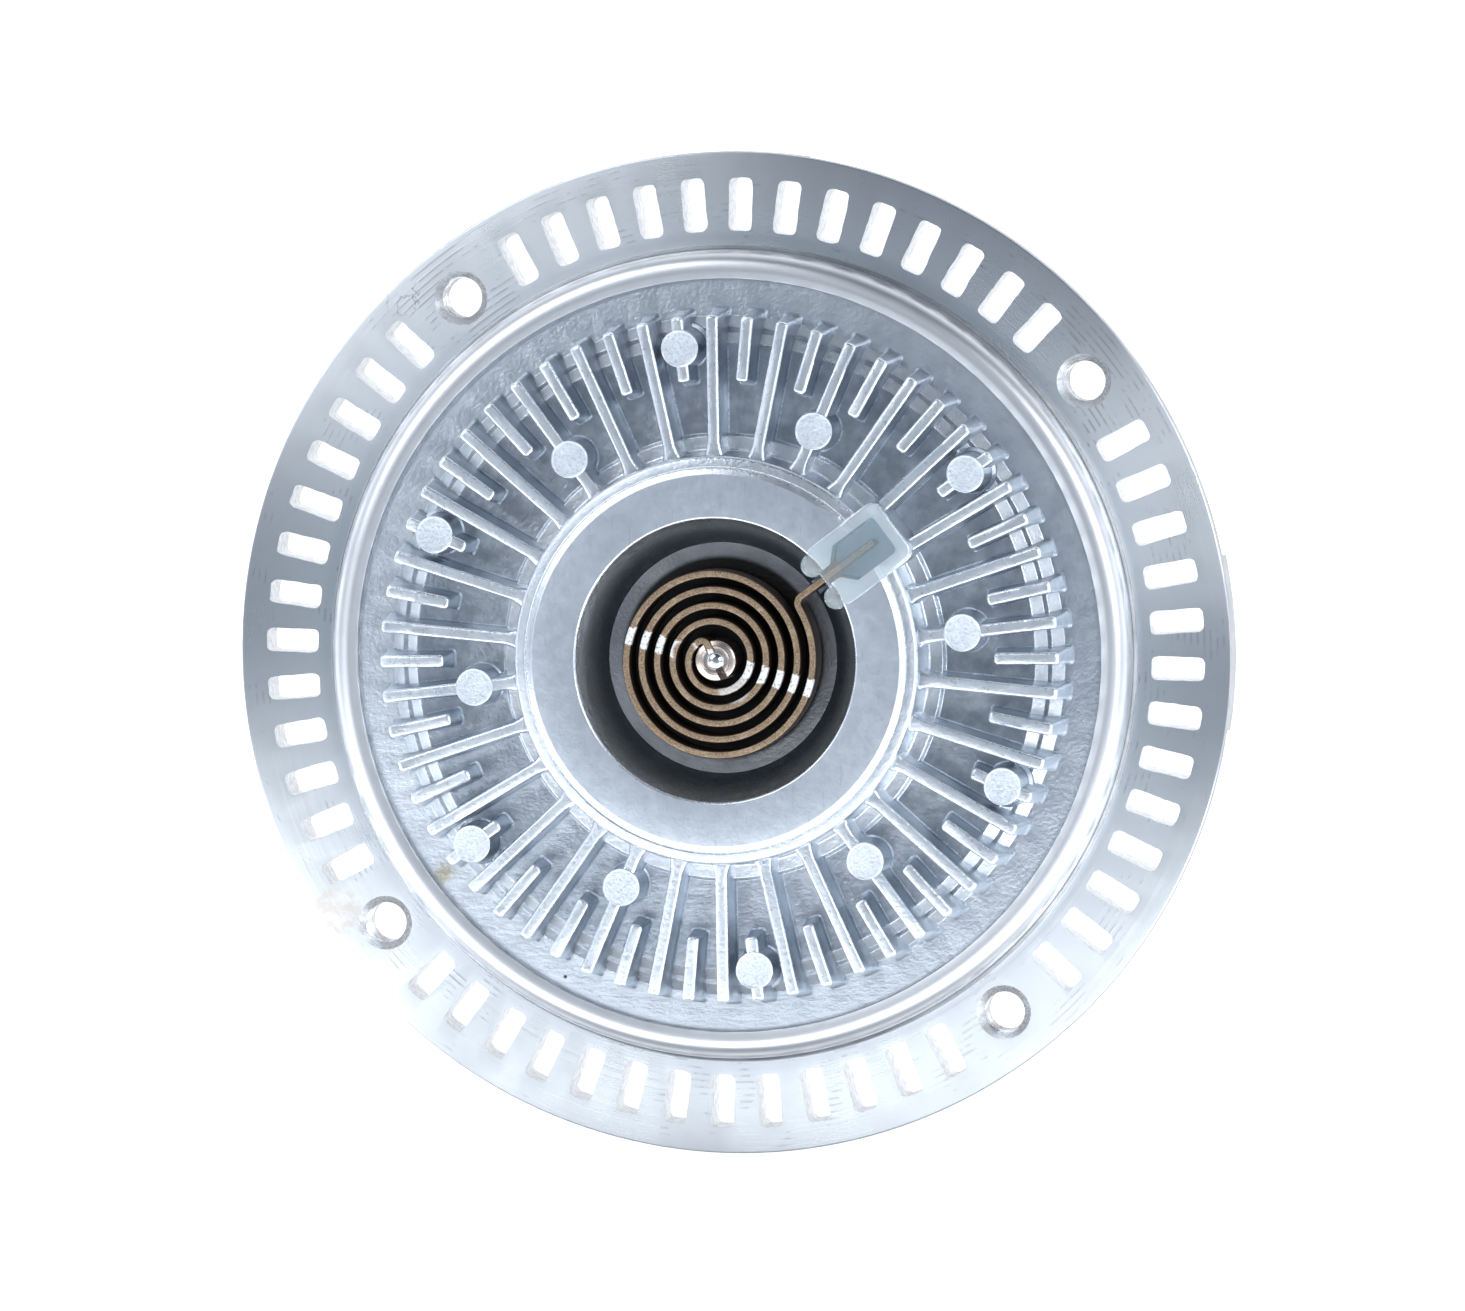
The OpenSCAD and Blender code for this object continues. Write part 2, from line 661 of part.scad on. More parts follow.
// Outline of the pocket in that boss, with the neck that opens into the recess
module tail_pocket_outline(r0) {
    r = tail_boss_r / 2;
    w = tail_pocket_w / 2;
    n = tail_neck_w / 2;
    polygon(concat(
        [[r0, -n], [tail_neck_end, -n], [tail_pocket_start, -w]],
        arc([tail_pocket_end - r, r - w], r, -90, 0, 4),
        arc([tail_pocket_end - r, w - r], r, 0, 90, 4),
        [[tail_pocket_start, w], [tail_neck_end, n], [r0, n]]
    ));
}

// Die-cast front cover with its fins, collar and coil recess
module front_cover() {
    color(cast_colour) difference() {
        union() {
            rotate_extrude() cover_section();
            fin_row(fin_angle, collar_r - bite, false);
            fin_row(fin_angle + 180 / fin_pairs, fin_outer_r - short_fin_len, true);
            ejector_pads();
            tail_boss();
            for (a = [arm_angle - stop_offset, arm_angle + arm_travel + stop_offset])
                rotate(a) translate([stop_circle_r, 0, arm_z0])
                cylinder(d = stop_d, h = recess_z - cover_wall + bite - arm_z0);
        }
        rotate(tail_angle) translate([0, 0, tail_pocket_z])
            linear_extrude(collar_z - tail_pocket_z + bite)
            tail_pocket_outline(recess_floor_r - 2 * bite);
    }
}

// Round rubber ring between the cover and the housing
module cover_seal() {
    color(rubber_colour) rotate_extrude()
        translate([cover_groove_r + cover_seal_section, cover_seal_z]) circle(cover_seal_section);
}

// Flat spiral of bimetal strip, set on edge
module bimetal_coil() {
    color(bronze_colour) translate([0, 0, coil_z0]) linear_extrude(strip_h)
        polygon(strip(coil_path, strip_t));
}

// Clear resin that holds the tail of the coil, with its film and its two runs into the recess
module coil_resin() {
    run_r = (tail_boss_w - tail_neck_w) / 4 - resin_film_t / 2;
    run_at = tail_neck_w / 2 + resin_film_t + run_r;
    color(resin_colour) difference() {
        rotate(tail_angle) {
            translate([0, 0, tail_pocket_z]) linear_extrude(collar_z + resin_film_t - tail_pocket_z)
                tail_pocket_outline(recess_r);
            translate([0, 0, collar_z]) linear_extrude(resin_film_t) polygon(round_box(
                recess_r, tail_boss_end - resin_film_t,
                resin_film_t - tail_boss_w / 2, tail_boss_w / 2 - resin_film_t, tail_boss_r));
            difference() {
                for (side = [-1, 1])
                    translate([recess_r - run_r / 2, side * run_at, collar_z - 2 * run_r])
                    cylinder(r = run_r, h = 2 * run_r + resin_film_t);
                rotate_extrude() polygon([
                    [recess_floor_r, recess_z],
                    [recess_r, collar_z],
                    [tail_boss_end, collar_z],
                    [tail_boss_end, recess_z]
                ]);
            }
        }
        translate([0, 0, coil_z0]) linear_extrude(strip_h) polygon(strip(coil_path, strip_t));
    }
}

// Steel valve shaft: slotted head, journal with its seal groove, tenon and riveted end
module valve_shaft() {
    slot_z = coil_z0 - run_gap;
    groove_h = 2 * valve_seal_section + run_gap / 2;
    color(steel_colour) difference() {
        union() {
            translate([0, 0, valve_head_z0]) cylinder(d = valve_head_d, h = valve_head_z1 - valve_head_z0);
            translate([0, 0, arm_z1]) cylinder(r = journal_r, h = valve_head_z0 + bite - arm_z1);
            translate([0, 0, arm_z0 - bite]) cylinder(r = valve_tenon_r, h = arm_t + 2 * bite);
            translate([0, 0, arm_z0 - valve_rivet_t]) cylinder(r = valve_rivet_r, h = valve_rivet_t);
        }
        rotate(valve_slot_angle) translate([-valve_head_d, -strip_t / 2 - slot_fit, slot_z])
            cube([2 * valve_head_d, strip_t + 2 * slot_fit, valve_head_z1]);
        translate([0, 0, slot_z]) linear_extrude(valve_head_z1)
            polygon(strip(coil_path, strip_t + 2 * slot_fit));
        ring(valve_groove_r, journal_r + bite, valve_seal_z - groove_h / 2, valve_seal_z + groove_h / 2);
    }
}

// Round rubber ring in the groove of the valve shaft
module valve_shaft_seal() {
    color(rubber_colour) rotate_extrude()
        translate([valve_seal_r, valve_seal_z]) circle(valve_seal_section);
}

// Sheet steel arm that slides over the fluid port
module valve_arm() {
    hub_r = journal_r + arm_ring_w;
    color(zinc_colour) rotate(arm_angle) translate([0, 0, arm_z0]) linear_extrude(arm_t) difference() {
        union() {
            circle(hub_r);
            translate([0, -arm_w / 2]) square([port_r, arm_w]);
            translate([port_r, 0]) circle(arm_pad_r);
        }
        circle(valve_tenon_r);
    }
}

// Sheet steel plate between the fluid store and the working chamber
module separator_plate() {
    color(zinc_colour) difference() {
        translate([0, 0, plate_z0]) cylinder(r = cover_r - cover_fit, h = plate_t);
        translate([0, 0, plate_z0 - bite]) {
            cylinder(r = plate_hole_r, h = plate_t + 2 * bite);
            rotate(arm_angle) translate([port_r, 0, 0]) cylinder(d = port_d, h = plate_t + 2 * bite);
            rotate(arm_angle + 180) translate([return_r, 0, 0])
                cylinder(d = return_hole_d, h = plate_t + 2 * bite);
        }
    }
}

// Small dam under the plate that pushes fluid back through the return hole
module fluid_scoop() {
    depth = plate_gap - run_gap;
    width = 2 * return_hole_d;
    color(rubber_colour) rotate(arm_angle + 180)
        translate([0, 0, plate_z0 - depth]) linear_extrude(depth) polygon(round_box(
            return_r - width, rotor_r - scoop_edge,
            return_hole_d / 2 + run_gap, return_hole_d / 2 + width, scoop_edge));
}

// Cast aluminium rotor with concentric ridges on its rear
module rotor() {
    hole_at = rotor_hub_d / 2 + rotor_hole_gap;
    color(cast_colour) difference() {
        rotate_extrude() {
            translate([rotor_seat_d / 2, rotor_z0]) square([rotor_r - rotor_seat_d / 2, rotor_t]);
            translate([rotor_seat_d / 2, bearing_z1])
                square([(rotor_hub_d - rotor_seat_d) / 2, rotor_z1 - bearing_z1]);
            ridges(rotor_ridge_r, rotor_z0 - ridge_h);
        }
        for (i = [0 : rotor_hole_count - 1]) rotate(i * 360 / rotor_hole_count)
            translate([hole_at, 0, rotor_z0 - bite]) cylinder(d = rotor_hole_d, h = rotor_t + 2 * bite);
    }
}

// Turned steel input shaft: hub with its centring recess and screw hole, bearing and rotor seats
module input_shaft() {
    hub_r = hub_d / 2;
    pilot_r = pilot_d / 2;
    color(steel_colour) difference() {
        rotate_extrude() polygon([
            [0, pilot_depth],
            [pilot_r, pilot_depth],
            [pilot_r, 0],
            [hub_r - hub_edge, 0],
            [hub_r, hub_edge],
            [hub_r, hub_t - hub_edge],
            [hub_r - hub_edge, hub_t],
            [shoulder_d / 2, hub_t],
            [shoulder_d / 2, bearing_z0],
            [bearing_bore_d / 2, bearing_z0],
            [bearing_bore_d / 2, bearing_z1],
            [rotor_seat_d / 2, bearing_z1],
            [rotor_seat_d / 2, rotor_z1],
            [shaft_head_d / 2, rotor_z1],
            [shaft_head_d / 2 - hub_edge / 2, rotor_z1 + shaft_head_t],
            [0, rotor_z1 + shaft_head_t]
        ]);
        translate([0, 0, pilot_depth - bite])
            cylinder(d = screw_hole_d, h = screw_hole_depth - pilot_depth + bite);
    }
}

// Outer ring of the bearing, with the race and a step for each seal
module bearing_outer_ring() {
    color(steel_colour) rotate_extrude() difference() {
        translate([outer_land_r, bearing_z0]) square([bearing_r - outer_land_r, bearing_w]);
        translate([ball_circle_r, bearing_mid_z]) circle(race_r);
        for (z = [bearing_z0 + seal_inset, bearing_z1 - seal_inset - bearing_seal_t])
            translate([outer_land_r - bite, z]) square([seal_step + bite, bearing_seal_t]);
    }
}

// Inner ring of the bearing
module bearing_inner_ring() {
    color(steel_colour) rotate_extrude() difference() {
        translate([bearing_bore_d / 2, bearing_z0])
            square([inner_land_r - bearing_bore_d / 2, bearing_w]);
        translate([ball_circle_r, bearing_mid_z]) circle(race_r);
    }
}

// Places of the balls, or of the rivets midway between them
module round_the_bearing(shift) {
    for (i = [0 : ball_count - 1]) rotate((i + shift) * 360 / ball_count)
        translate([ball_circle_r, 0, bearing_mid_z]) children();
}

// Balls of the bearing
module bearing_balls() {
    color(turned_colour) round_the_bearing(0) sphere(ball_r);
}

// One half of the riveted cage, with its ball pockets
module cage_half(z0) {
    color(zinc_colour) difference() {
        ring(ball_circle_r - cage_w / 2, ball_circle_r + cage_w / 2, z0, z0 + cage_half_h);
        round_the_bearing(0) rotate([0, 90, 0])
            cylinder(r = ball_r + cage_fit, h = cage_w + 4 * bite, center = true);
        round_the_bearing(0.5) translate([0, 0, -bearing_w / 2]) cylinder(r = cage_rivet_r, h = bearing_w);
    }
}

// Front half of the cage
module bearing_cage_front() {
    cage_half(bearing_mid_z);
}

// Rear half of the cage
module bearing_cage_rear() {
    cage_half(bearing_mid_z - cage_half_h);
}

// Rivets that hold the halves of the cage together
module bearing_cage_rivets() {
    color(steel_colour) round_the_bearing(0.5)
        translate([0, 0, -cage_half_h]) cylinder(r = cage_rivet_r, h = 2 * cage_half_h);
}

// Rubber seal held by the outer ring, close to the land of the inner ring
module bearing_seal(z0) {
    color(rubber_colour) ring(inner_land_r + seal_fit, outer_land_r + seal_step, z0, z0 + bearing_seal_t);
}

// Seal towards the working chamber
module bearing_front_seal() {
    bearing_seal(bearing_z1 - seal_inset - bearing_seal_t);
}

// Seal towards the hub
module bearing_rear_seal() {
    bearing_seal(bearing_z0 + seal_inset);
}

// Spring steel circlip that keeps the bearing in its boss
module bearing_circlip() {
    outer_r = bearing_r + circlip_groove;
    inner_r = outer_r - circlip_w;
    ear_at = inner_r - circlip_ear_r / 2;
    color(steel_colour) translate([0, 0, bearing_z0 - circlip_t]) linear_extrude(circlip_t) difference() {
        circle(outer_r);
        difference() {
            circle(inner_r);
            for (a = [-circlip_gap, circlip_gap]) translate(polar(ear_at, a)) circle(circlip_ear_r);
        }
        polygon([[0, 0], polar(2 * outer_r, -circlip_gap / 2), polar(2 * outer_r, circlip_gap / 2)]);
        for (a = [-circlip_gap, circlip_gap]) translate(polar(ear_at, a)) circle(circlip_hole_r);
    }
}

housing();
front_cover();
cover_seal();
bimetal_coil();
coil_resin();
valve_shaft();
valve_shaft_seal();
valve_arm();
separator_plate();
fluid_scoop();
rotor();
input_shaft();
bearing_outer_ring();
bearing_inner_ring();
bearing_balls();
bearing_cage_front();
bearing_cage_rear();
bearing_cage_rivets();
bearing_front_seal();
bearing_rear_seal();
bearing_circlip();
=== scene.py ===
import math

import bmesh
import bpy
from mathutils import Matrix, Vector
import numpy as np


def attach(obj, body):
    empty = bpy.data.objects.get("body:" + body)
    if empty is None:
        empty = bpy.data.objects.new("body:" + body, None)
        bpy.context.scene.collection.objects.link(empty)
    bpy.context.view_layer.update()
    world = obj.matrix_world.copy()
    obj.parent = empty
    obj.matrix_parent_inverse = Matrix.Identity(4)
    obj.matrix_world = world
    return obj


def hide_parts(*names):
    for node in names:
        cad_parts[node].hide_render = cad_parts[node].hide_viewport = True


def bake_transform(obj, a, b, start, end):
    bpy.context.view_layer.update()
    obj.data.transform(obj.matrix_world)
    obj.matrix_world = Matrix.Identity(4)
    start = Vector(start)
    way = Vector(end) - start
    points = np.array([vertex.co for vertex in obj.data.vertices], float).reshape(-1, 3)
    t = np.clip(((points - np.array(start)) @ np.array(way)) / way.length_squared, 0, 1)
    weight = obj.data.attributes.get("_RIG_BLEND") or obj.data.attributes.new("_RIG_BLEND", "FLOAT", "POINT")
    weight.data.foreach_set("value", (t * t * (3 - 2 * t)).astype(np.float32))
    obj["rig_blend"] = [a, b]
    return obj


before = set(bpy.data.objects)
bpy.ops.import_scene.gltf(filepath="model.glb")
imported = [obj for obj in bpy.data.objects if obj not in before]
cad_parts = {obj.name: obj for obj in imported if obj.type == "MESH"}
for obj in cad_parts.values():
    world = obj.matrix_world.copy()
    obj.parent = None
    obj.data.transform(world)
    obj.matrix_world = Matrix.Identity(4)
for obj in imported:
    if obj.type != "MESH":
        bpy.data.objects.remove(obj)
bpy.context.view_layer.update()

# Camera. It looks down on the clutch, which stands on its hub, from the photograph's angle: a
# little to the right of the axis and above it, far off and through a long lens.
MM = 0.001
PHOTO_W = 1465
SENSOR_W = 36
FOCAL_PX = 9330
TILT, SWING, ROLL = (math.radians(angle) for angle in (3.961, -10.061, -0.537))
EYE = Vector((0.137, -0.203, 1578.8))
FLANGE_Z = 46
view_turn = (
    Matrix.Rotation(TILT, 3, "X") @ Matrix.Rotation(SWING, 3, "Y") @ Matrix.Rotation(ROLL, 3, "Z")
).transposed()
bpy.ops.object.camera_add(
    location=(view_turn @ EYE + Vector((0, 0, FLANGE_Z))) * MM,
    rotation=view_turn.to_euler(),
)
camera = bpy.context.object
camera.data.sensor_fit = "HORIZONTAL"
camera.data.sensor_width = SENSOR_W
camera.data.lens = FOCAL_PX * SENSOR_W / PHOTO_W
bpy.context.scene.camera = camera


# Floor. A plain white sheet, lit from within like a light table, so that it shows white through
# the slots of the flange.
class Shade:
    """A value in a material. Arithmetic on it adds Math nodes, and node() adds any other."""

    def __init__(self, tree, socket=None):
        self.tree = tree
        self.socket = socket

    def node(self, kind, settings=None, sockets=None, output=0):
        """Add a node, set it and link its sockets, and give back one of its outputs."""
        made = self.tree.nodes.new("ShaderNode" + kind)
        for name, value in (settings or {}).items():
            setattr(made, name, value)
        for name, value in (sockets or {}).items():
            if isinstance(value, Shade):
                self.tree.links.new(value.socket, made.inputs[name])
            else:
                made.inputs[name].default_value = value
        return Shade(self.tree, made.outputs[output])

    def math(self, operation, first, second=0.0):
        return self.node("Math", {"operation": operation}, {0: first, 1: second})

    def __add__(self, other):
        return self.math("ADD", self, other)

    __radd__ = __add__

    def __sub__(self, other):
        return self.math("SUBTRACT", self, other)

    def __rsub__(self, other):
        return self.math("SUBTRACT", other, self)

    def __mul__(self, other):
        return self.math("MULTIPLY", self, other)

    __rmul__ = __mul__

    def __pow__(self, other):
        return self.math("POWER", self, other)

    def rise(self, low, high):
        """0 below low, 1 above high, and smooth between them."""
        return self.node(
            "MapRange",
            {"interpolation_type": "SMOOTHSTEP"},
            {"Value": self, "From Min": low, "From Max": high},
        )

    def band(self, low, high, soft):
        """1 between low and high, and 0 outside."""
        return self.rise(low - soft, low) * (1 - self.rise(high, high + soft))

    def tint(self, low, high):
        """A colour from low, where this is 0, to high, where it is 1."""
        low, high = ((*c, 1) if isinstance(c, tuple) else c for c in (low, high))
        return self.node("Mix", {"data_type": "RGBA"}, {0: self, 6: low, 7: high}, 2)


def stained(colour, *stains):
    """A colour with stains laid over it in turn, each of them a mask and a colour."""
    for mask, stain in stains:
        colour = mask.tint(colour, stain)
    return colour


class Finish:
    """A material under construction, with its place on the object in millimetres."""

    def __init__(self, name):
        self.material = bpy.data.materials.new(name)
        self.material.use_nodes = True
        self.tree = self.material.node_tree
        self.shader = self.tree.nodes["Principled BSDF"]
        start = Shade(self.tree)
        self.place = start.node(
            "VectorMath",
            {"operation": "SCALE"},
            {0: start.node("TexCoord", output=3), "Scale": 1 / MM},
        )
        axes = [self.place.node("SeparateXYZ", None, {0: self.place}, axis) for axis in range(3)]
        self.x, self.y, self.z = axes
        self.r = (self.x * self.x + self.y * self.y) ** 0.5

    def noise(self, scale, detail=3.0, roughness=0.55, place=None):
        """Noise with about scale features to the millimetre, from 0 to 1."""
        sockets = {"Vector": place or self.place, "Scale": scale, "Detail": detail}
        return self.place.node("TexNoise", None, {**sockets, "Roughness": roughness})

    def stretched(self, x, y, z):
        """The place with each axis scaled, for streaks."""
        sockets = {0: self.place, 1: (x, y, z)}
        return self.place.node("VectorMath", {"operation": "MULTIPLY"}, sockets)

    def vector(self, x, y, z):
        """A place made of three values, such as the radius, for marks round the axis."""
        return self.place.node("CombineXYZ", None, {0: x, 1: y, 2: z})

    def spot(self, x, y, radius, soft):
        """1 within a radius of a point of the front, and 0 outside."""
        dx, dy = self.x - x, self.y - y
        return 1 - ((dx * dx + dy * dy) ** 0.5).rise(radius - soft, radius + soft)

    def facing(self):
        """1 where the surface faces the front, and 0 where it stands upright."""
        normal = self.place.node("NewGeometry", output=1)
        return self.place.node("SeparateXYZ", None, {0: normal}, 2)

    def bump(self, height, depth):
        """Relief that is depth millimetres high where the height is 1."""
        sockets = {"Strength": 1.0, "Distance": depth * MM, "Height": height}
        return self.place.node("Bump", None, sockets)

    def set(self, **values):
        """Set or link the shader's sockets, and give back the material."""
        for name, value in values.items():
            socket = self.shader.inputs[name.replace("_", " ")]
            if isinstance(value, Shade):
                self.tree.links.new(value.socket, socket)
            else:
                socket.default_value = (*value, 1) if isinstance(value, tuple) else value
        return self.material


FLOOR_SIZE = 6
FLOOR_GLOW = 0.75
bpy.ops.object.select_all(action="DESELECT")
bpy.ops.mesh.primitive_plane_add(size=FLOOR_SIZE)
floor = bpy.context.object
floor.name = "floor"
white_sheet = Finish("white_sheet")
paper = white_sheet.noise(0.02).rise(0.2, 0.8)
floor.data.materials.append(white_sheet.set(
    Base_Color=paper.tint((0.80, 0.80, 0.81), (0.84, 0.84, 0.85)),
    Roughness=0.9,
    Emission_Color=(1.0, 1.0, 1.0),
    Emission_Strength=FLOOR_GLOW,
))

# Studio light. A white board that stands close below the part in the picture and whitens the
# lower flange, four soft boxes round it, and a bluish room, which the turned faces mirror. Each
# light has its place and aim in metres, its width and height, and its glow.
LIGHT_COLOUR = (0.955, 0.98, 1.0)
LIGHTS = {
    "board_below": ((0, -0.099, 0.19), (0, 0, 0.19), 0.60, 0.19, 2.1),
    "box_upper_left": ((-0.46, 0.43, 0.75), (0, 0, 0.05), 0.64, 0.45, 3.1),
    "box_lower_right": ((0.52, -0.42, 0.75), (0, 0, 0.05), 0.42, 0.45, 2.2),
    "box_right": ((0.57, 0.23, 0.75), (0, 0, 0.05), 0.36, 0.45, 4.8),
    "box_left": ((-0.56, -0.29, 0.75), (0, 0, 0.05), 0.27, 0.45, 1.9),
}
for name, (place, aim, width, height, glow) in LIGHTS.items():
    way = (Vector(aim) - Vector(place)).to_track_quat("-Z", "Y")
    bpy.ops.object.light_add(type="AREA", location=place, rotation=way.to_euler())
    light = bpy.context.object
    light.name = name
    light.visible_camera = False
    light.data.shape = "RECTANGLE"
    light.data.size = width
    light.data.size_y = height
    light.data.color = LIGHT_COLOUR
    light.data.energy = glow * math.pi * width * height
bpy.context.scene.world = bpy.data.worlds.new("grey_room")
bpy.context.scene.world.use_nodes = True
room = Shade(bpy.context.scene.world.node_tree)
toward = room.node("TexCoord")
away, up = (room.node("SeparateXYZ", None, {0: toward}, axis) for axis in (1, 2))
room_colour = away.rise(-0.9, -0.5).tint((0.62, 0.65, 0.69), (1.35, 1.46, 1.58))
room_colour = (away.rise(0.2, 0.7) * 0.6).tint(room_colour, (0.22, 0.24, 0.27))
top_colour = away.rise(0.12, 0.42).tint((0.26, 0.30, 0.355), (0.05, 0.065, 0.09))
top_colour = away.rise(-0.62, -0.3).tint((0.10, 0.12, 0.15), top_colour)
room_colour = up.rise(0.08, 0.6).tint(room_colour, top_colour)
room.tree.links.new(room_colour.socket, room.tree.nodes["Background"].inputs["Color"])
bpy.context.scene.view_settings.view_transform = "Standard"


# Input shaft. Turned steel, with the hub that is screwed to the pulley, its centring recess and
# the tapped hole of the central screw. It carries the bearing and the rotor.
def only(piece):
    """Leave edit mode, and select one piece alone."""
    if bpy.context.object and bpy.context.object.mode != "OBJECT":
        bpy.ops.object.mode_set(mode="OBJECT")
    bpy.ops.object.select_all(action="DESELECT")
    if piece:
        piece.select_set(True)
        bpy.context.view_layer.objects.active = piece


def pick(piece, kind, test):
    """In edit mode, select only the vertices, edges or faces that pass a test."""
    bpy.ops.mesh.select_mode(type=kind)
    bpy.ops.mesh.select_all(action="DESELECT")
    mesh = bmesh.from_edit_mesh(piece.data)
    for part in {"VERT": mesh.verts, "EDGE": mesh.edges, "FACE": mesh.faces}[kind]:
        if test(part):
            part.select_set(True)
    mesh.select_flush_mode()
    bmesh.update_edit_mesh(piece.data)


def drawn(name, points):
    """A line of edges through the given points, drawn one step after another."""
    only(None)
    bpy.ops.mesh.primitive_plane_add(size=1)
    piece = bpy.context.object
    piece.name = name
    bpy.ops.object.mode_set(mode="EDIT")
    bpy.ops.mesh.select_mode(type="VERT")
    bpy.ops.mesh.select_all(action="SELECT")
    bpy.ops.mesh.merge(type="CENTER")
    bpy.ops.transform.translate(value=points[0])
    for start, end in zip(points, points[1:]):
        bpy.ops.mesh.extrude_region_move(TRANSFORM_OT_translate={"value": end - start})
    return piece


MERGE_MM = 1e-4


def merge():
    """In edit mode, join the points that lie on each other."""
    bpy.ops.mesh.select_all(action="SELECT")
    bpy.ops.mesh.remove_doubles(threshold=MERGE_MM)


def closed(piece):
    """Turn all faces of a piece outward, and leave edit mode."""
    bpy.ops.mesh.select_all(action="SELECT")
    bpy.ops.mesh.normals_make_consistent(inside=False)
    bpy.ops.object.mode_set(mode="OBJECT")
    return piece


ARC_STEP = math.radians(15)


def rounded(corners):
    """Points of a closed outline whose corners (x, y, radius) are rounded."""
    points = []
    for i, (x, y, radius) in enumerate(corners):
        here = Vector((x, y))
        back = (Vector(corners[i - 1][:2]) - here).normalized()
        onward = (Vector(corners[(i + 1) % len(corners)][:2]) - here).normalized()
        if radius == 0:
            points.append(here)
            continue
        half = back.angle(onward) / 2
        middle = here + (back + onward).normalized() * radius / math.sin(half)
        first = here + back * radius / math.tan(half) - middle
        last = here + onward * radius / math.tan(half) - middle
        turn0 = math.atan2(first.y, first.x)
        swing = (math.atan2(last.y, last.x) - turn0 + math.pi) % math.tau - math.pi
        steps = max(2, math.ceil(abs(swing) / ARC_STEP))
        for step in range(steps + 1):
            turn = turn0 + swing * step / steps
            points.append(middle + radius * Vector((math.cos(turn), math.sin(turn))))
    return points


def turned(name, corners, steps, angle=math.tau):
    """A solid spun clockwise about the axis from a section of corners (radius, height, rounding)."""
    section = [Vector((p.x, 0, p.y)) for p in rounded(corners)]
    piece = drawn(name, section + section[:1])
    merge()
    bpy.ops.mesh.spin(steps=steps, angle=angle, center=(0, 0, 0), axis=(0, 0, 1))
    merge()
    if angle < math.tau:
        bpy.ops.mesh.fill_holes(sides=0)
    return closed(piece)


def apply(piece, kind, **settings):
    """Add a modifier to a piece and apply it."""
    only(piece)
    modifier = piece.modifiers.new(kind.lower(), kind)
    for name, value in settings.items():
        setattr(modifier, name, value)
    bpy.ops.object.modifier_apply(modifier=modifier.name)


def combine(piece, tool, operation):
    """Join a tool to a piece, or cut it out of the piece."""
    apply(piece, "BOOLEAN", operation=operation, solver="MANIFOLD", object=tool)
    bpy.data.objects.remove(tool)


def moved(piece, turn=0.0, shift=(0, 0, 0)):
    """Shift a piece, then turn it about the axis, in its mesh."""
    piece.data.transform(Matrix.Rotation(turn, 4, "Z") @ Matrix.Translation(shift))
    return piece


def round_turns(first, count):
    """The angles of a number of places spread evenly about the axis, from a first one in degrees."""
    return [math.radians(first + 360 / count * k) for k in range(count)]


def copies(piece, turns, rough=0.0):
    """Copies of a piece about the axis, each with its points shaken a little, joined into one."""
    made = []
    for seed, turn in enumerate(turns):
        copy = piece.copy()
        copy.data = piece.data.copy()
        bpy.context.collection.objects.link(copy)
        if rough:
            only(copy)
            bpy.ops.object.mode_set(mode="EDIT")
            bpy.ops.mesh.select_all(action="SELECT")
            bpy.ops.transform.vertex_random(offset=rough, seed=seed)
            bpy.ops.mesh.quads_convert_to_tris()
            bpy.ops.object.mode_set(mode="OBJECT")
        made.append(moved(copy, turn))
    bpy.data.objects.remove(piece)
    only(None)
    for copy in made:
        copy.select_set(True)
    bpy.context.view_layer.objects.active = made[0]
    bpy.ops.object.join()
    return bpy.context.object


THREAD_START = math.radians(3.3)
THREAD_STEPS = 24
THREAD_BITE = 0.15
MOUTH_SHARE, ROOT_SHARE = 0.46, 0.06


def thread(radius, root, pitch, z0, rounds):
    """The space of an internal thread, which starts between two edges of the hole's wall."""
    mouth_r = radius - THREAD_BITE
    section = [
        Vector((mouth_r, 0, z0 - pitch * MOUTH_SHARE)),
        Vector((root, 0, z0 - pitch * ROOT_SHARE)),
        Vector((root, 0, z0 + pitch * ROOT_SHARE)),
        Vector((mouth_r, 0, z0 + pitch * MOUTH_SHARE)),
    ]
    piece = drawn("thread", section + section[:1])
    merge()
    apply(
        piece, "SCREW", steps=THREAD_STEPS, render_steps=THREAD_STEPS,
        screw_offset=pitch, iterations=rounds,
    )
    bpy.ops.object.mode_set(mode="EDIT")
    merge()
    bpy.ops.mesh.fill_holes(sides=0)
    return moved(closed(piece), THREAD_START)


def seat(piece, body, slot, materials, *nodes, smooth=32):
    """Bring a piece to metres, shade it, and set it on its body in place of its CAD nodes."""
    piece.data.transform(Matrix.Scale(MM, 4))
    only(piece)
    bpy.ops.object.shade_smooth_by_angle(angle=math.radians(smooth))
    piece.data.materials.clear()
    for material in materials:
        piece.data.materials.append(material)
    if body:
        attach(piece, body)
    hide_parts(*nodes)


def steel(name, colour, rough, lines):
    """Turned or drawn steel, with fine marks round the axis and a faint oil stain."""
    finish = Finish(name)
    marks = finish.noise(lines, 2.0, 0.6, finish.vector(finish.r, finish.z, 0.0))
    stain = finish.noise(0.12, 4.0).rise(0.45, 0.75)
    dark = tuple(c * 0.72 for c in colour)
    return finish.set(
        Base_Color=stain.tint(colour, dark),
        Metallic=1.0,
        Roughness=rough + marks * 0.12 + stain * 0.10,
        Normal=finish.bump(marks, 0.02),
    )


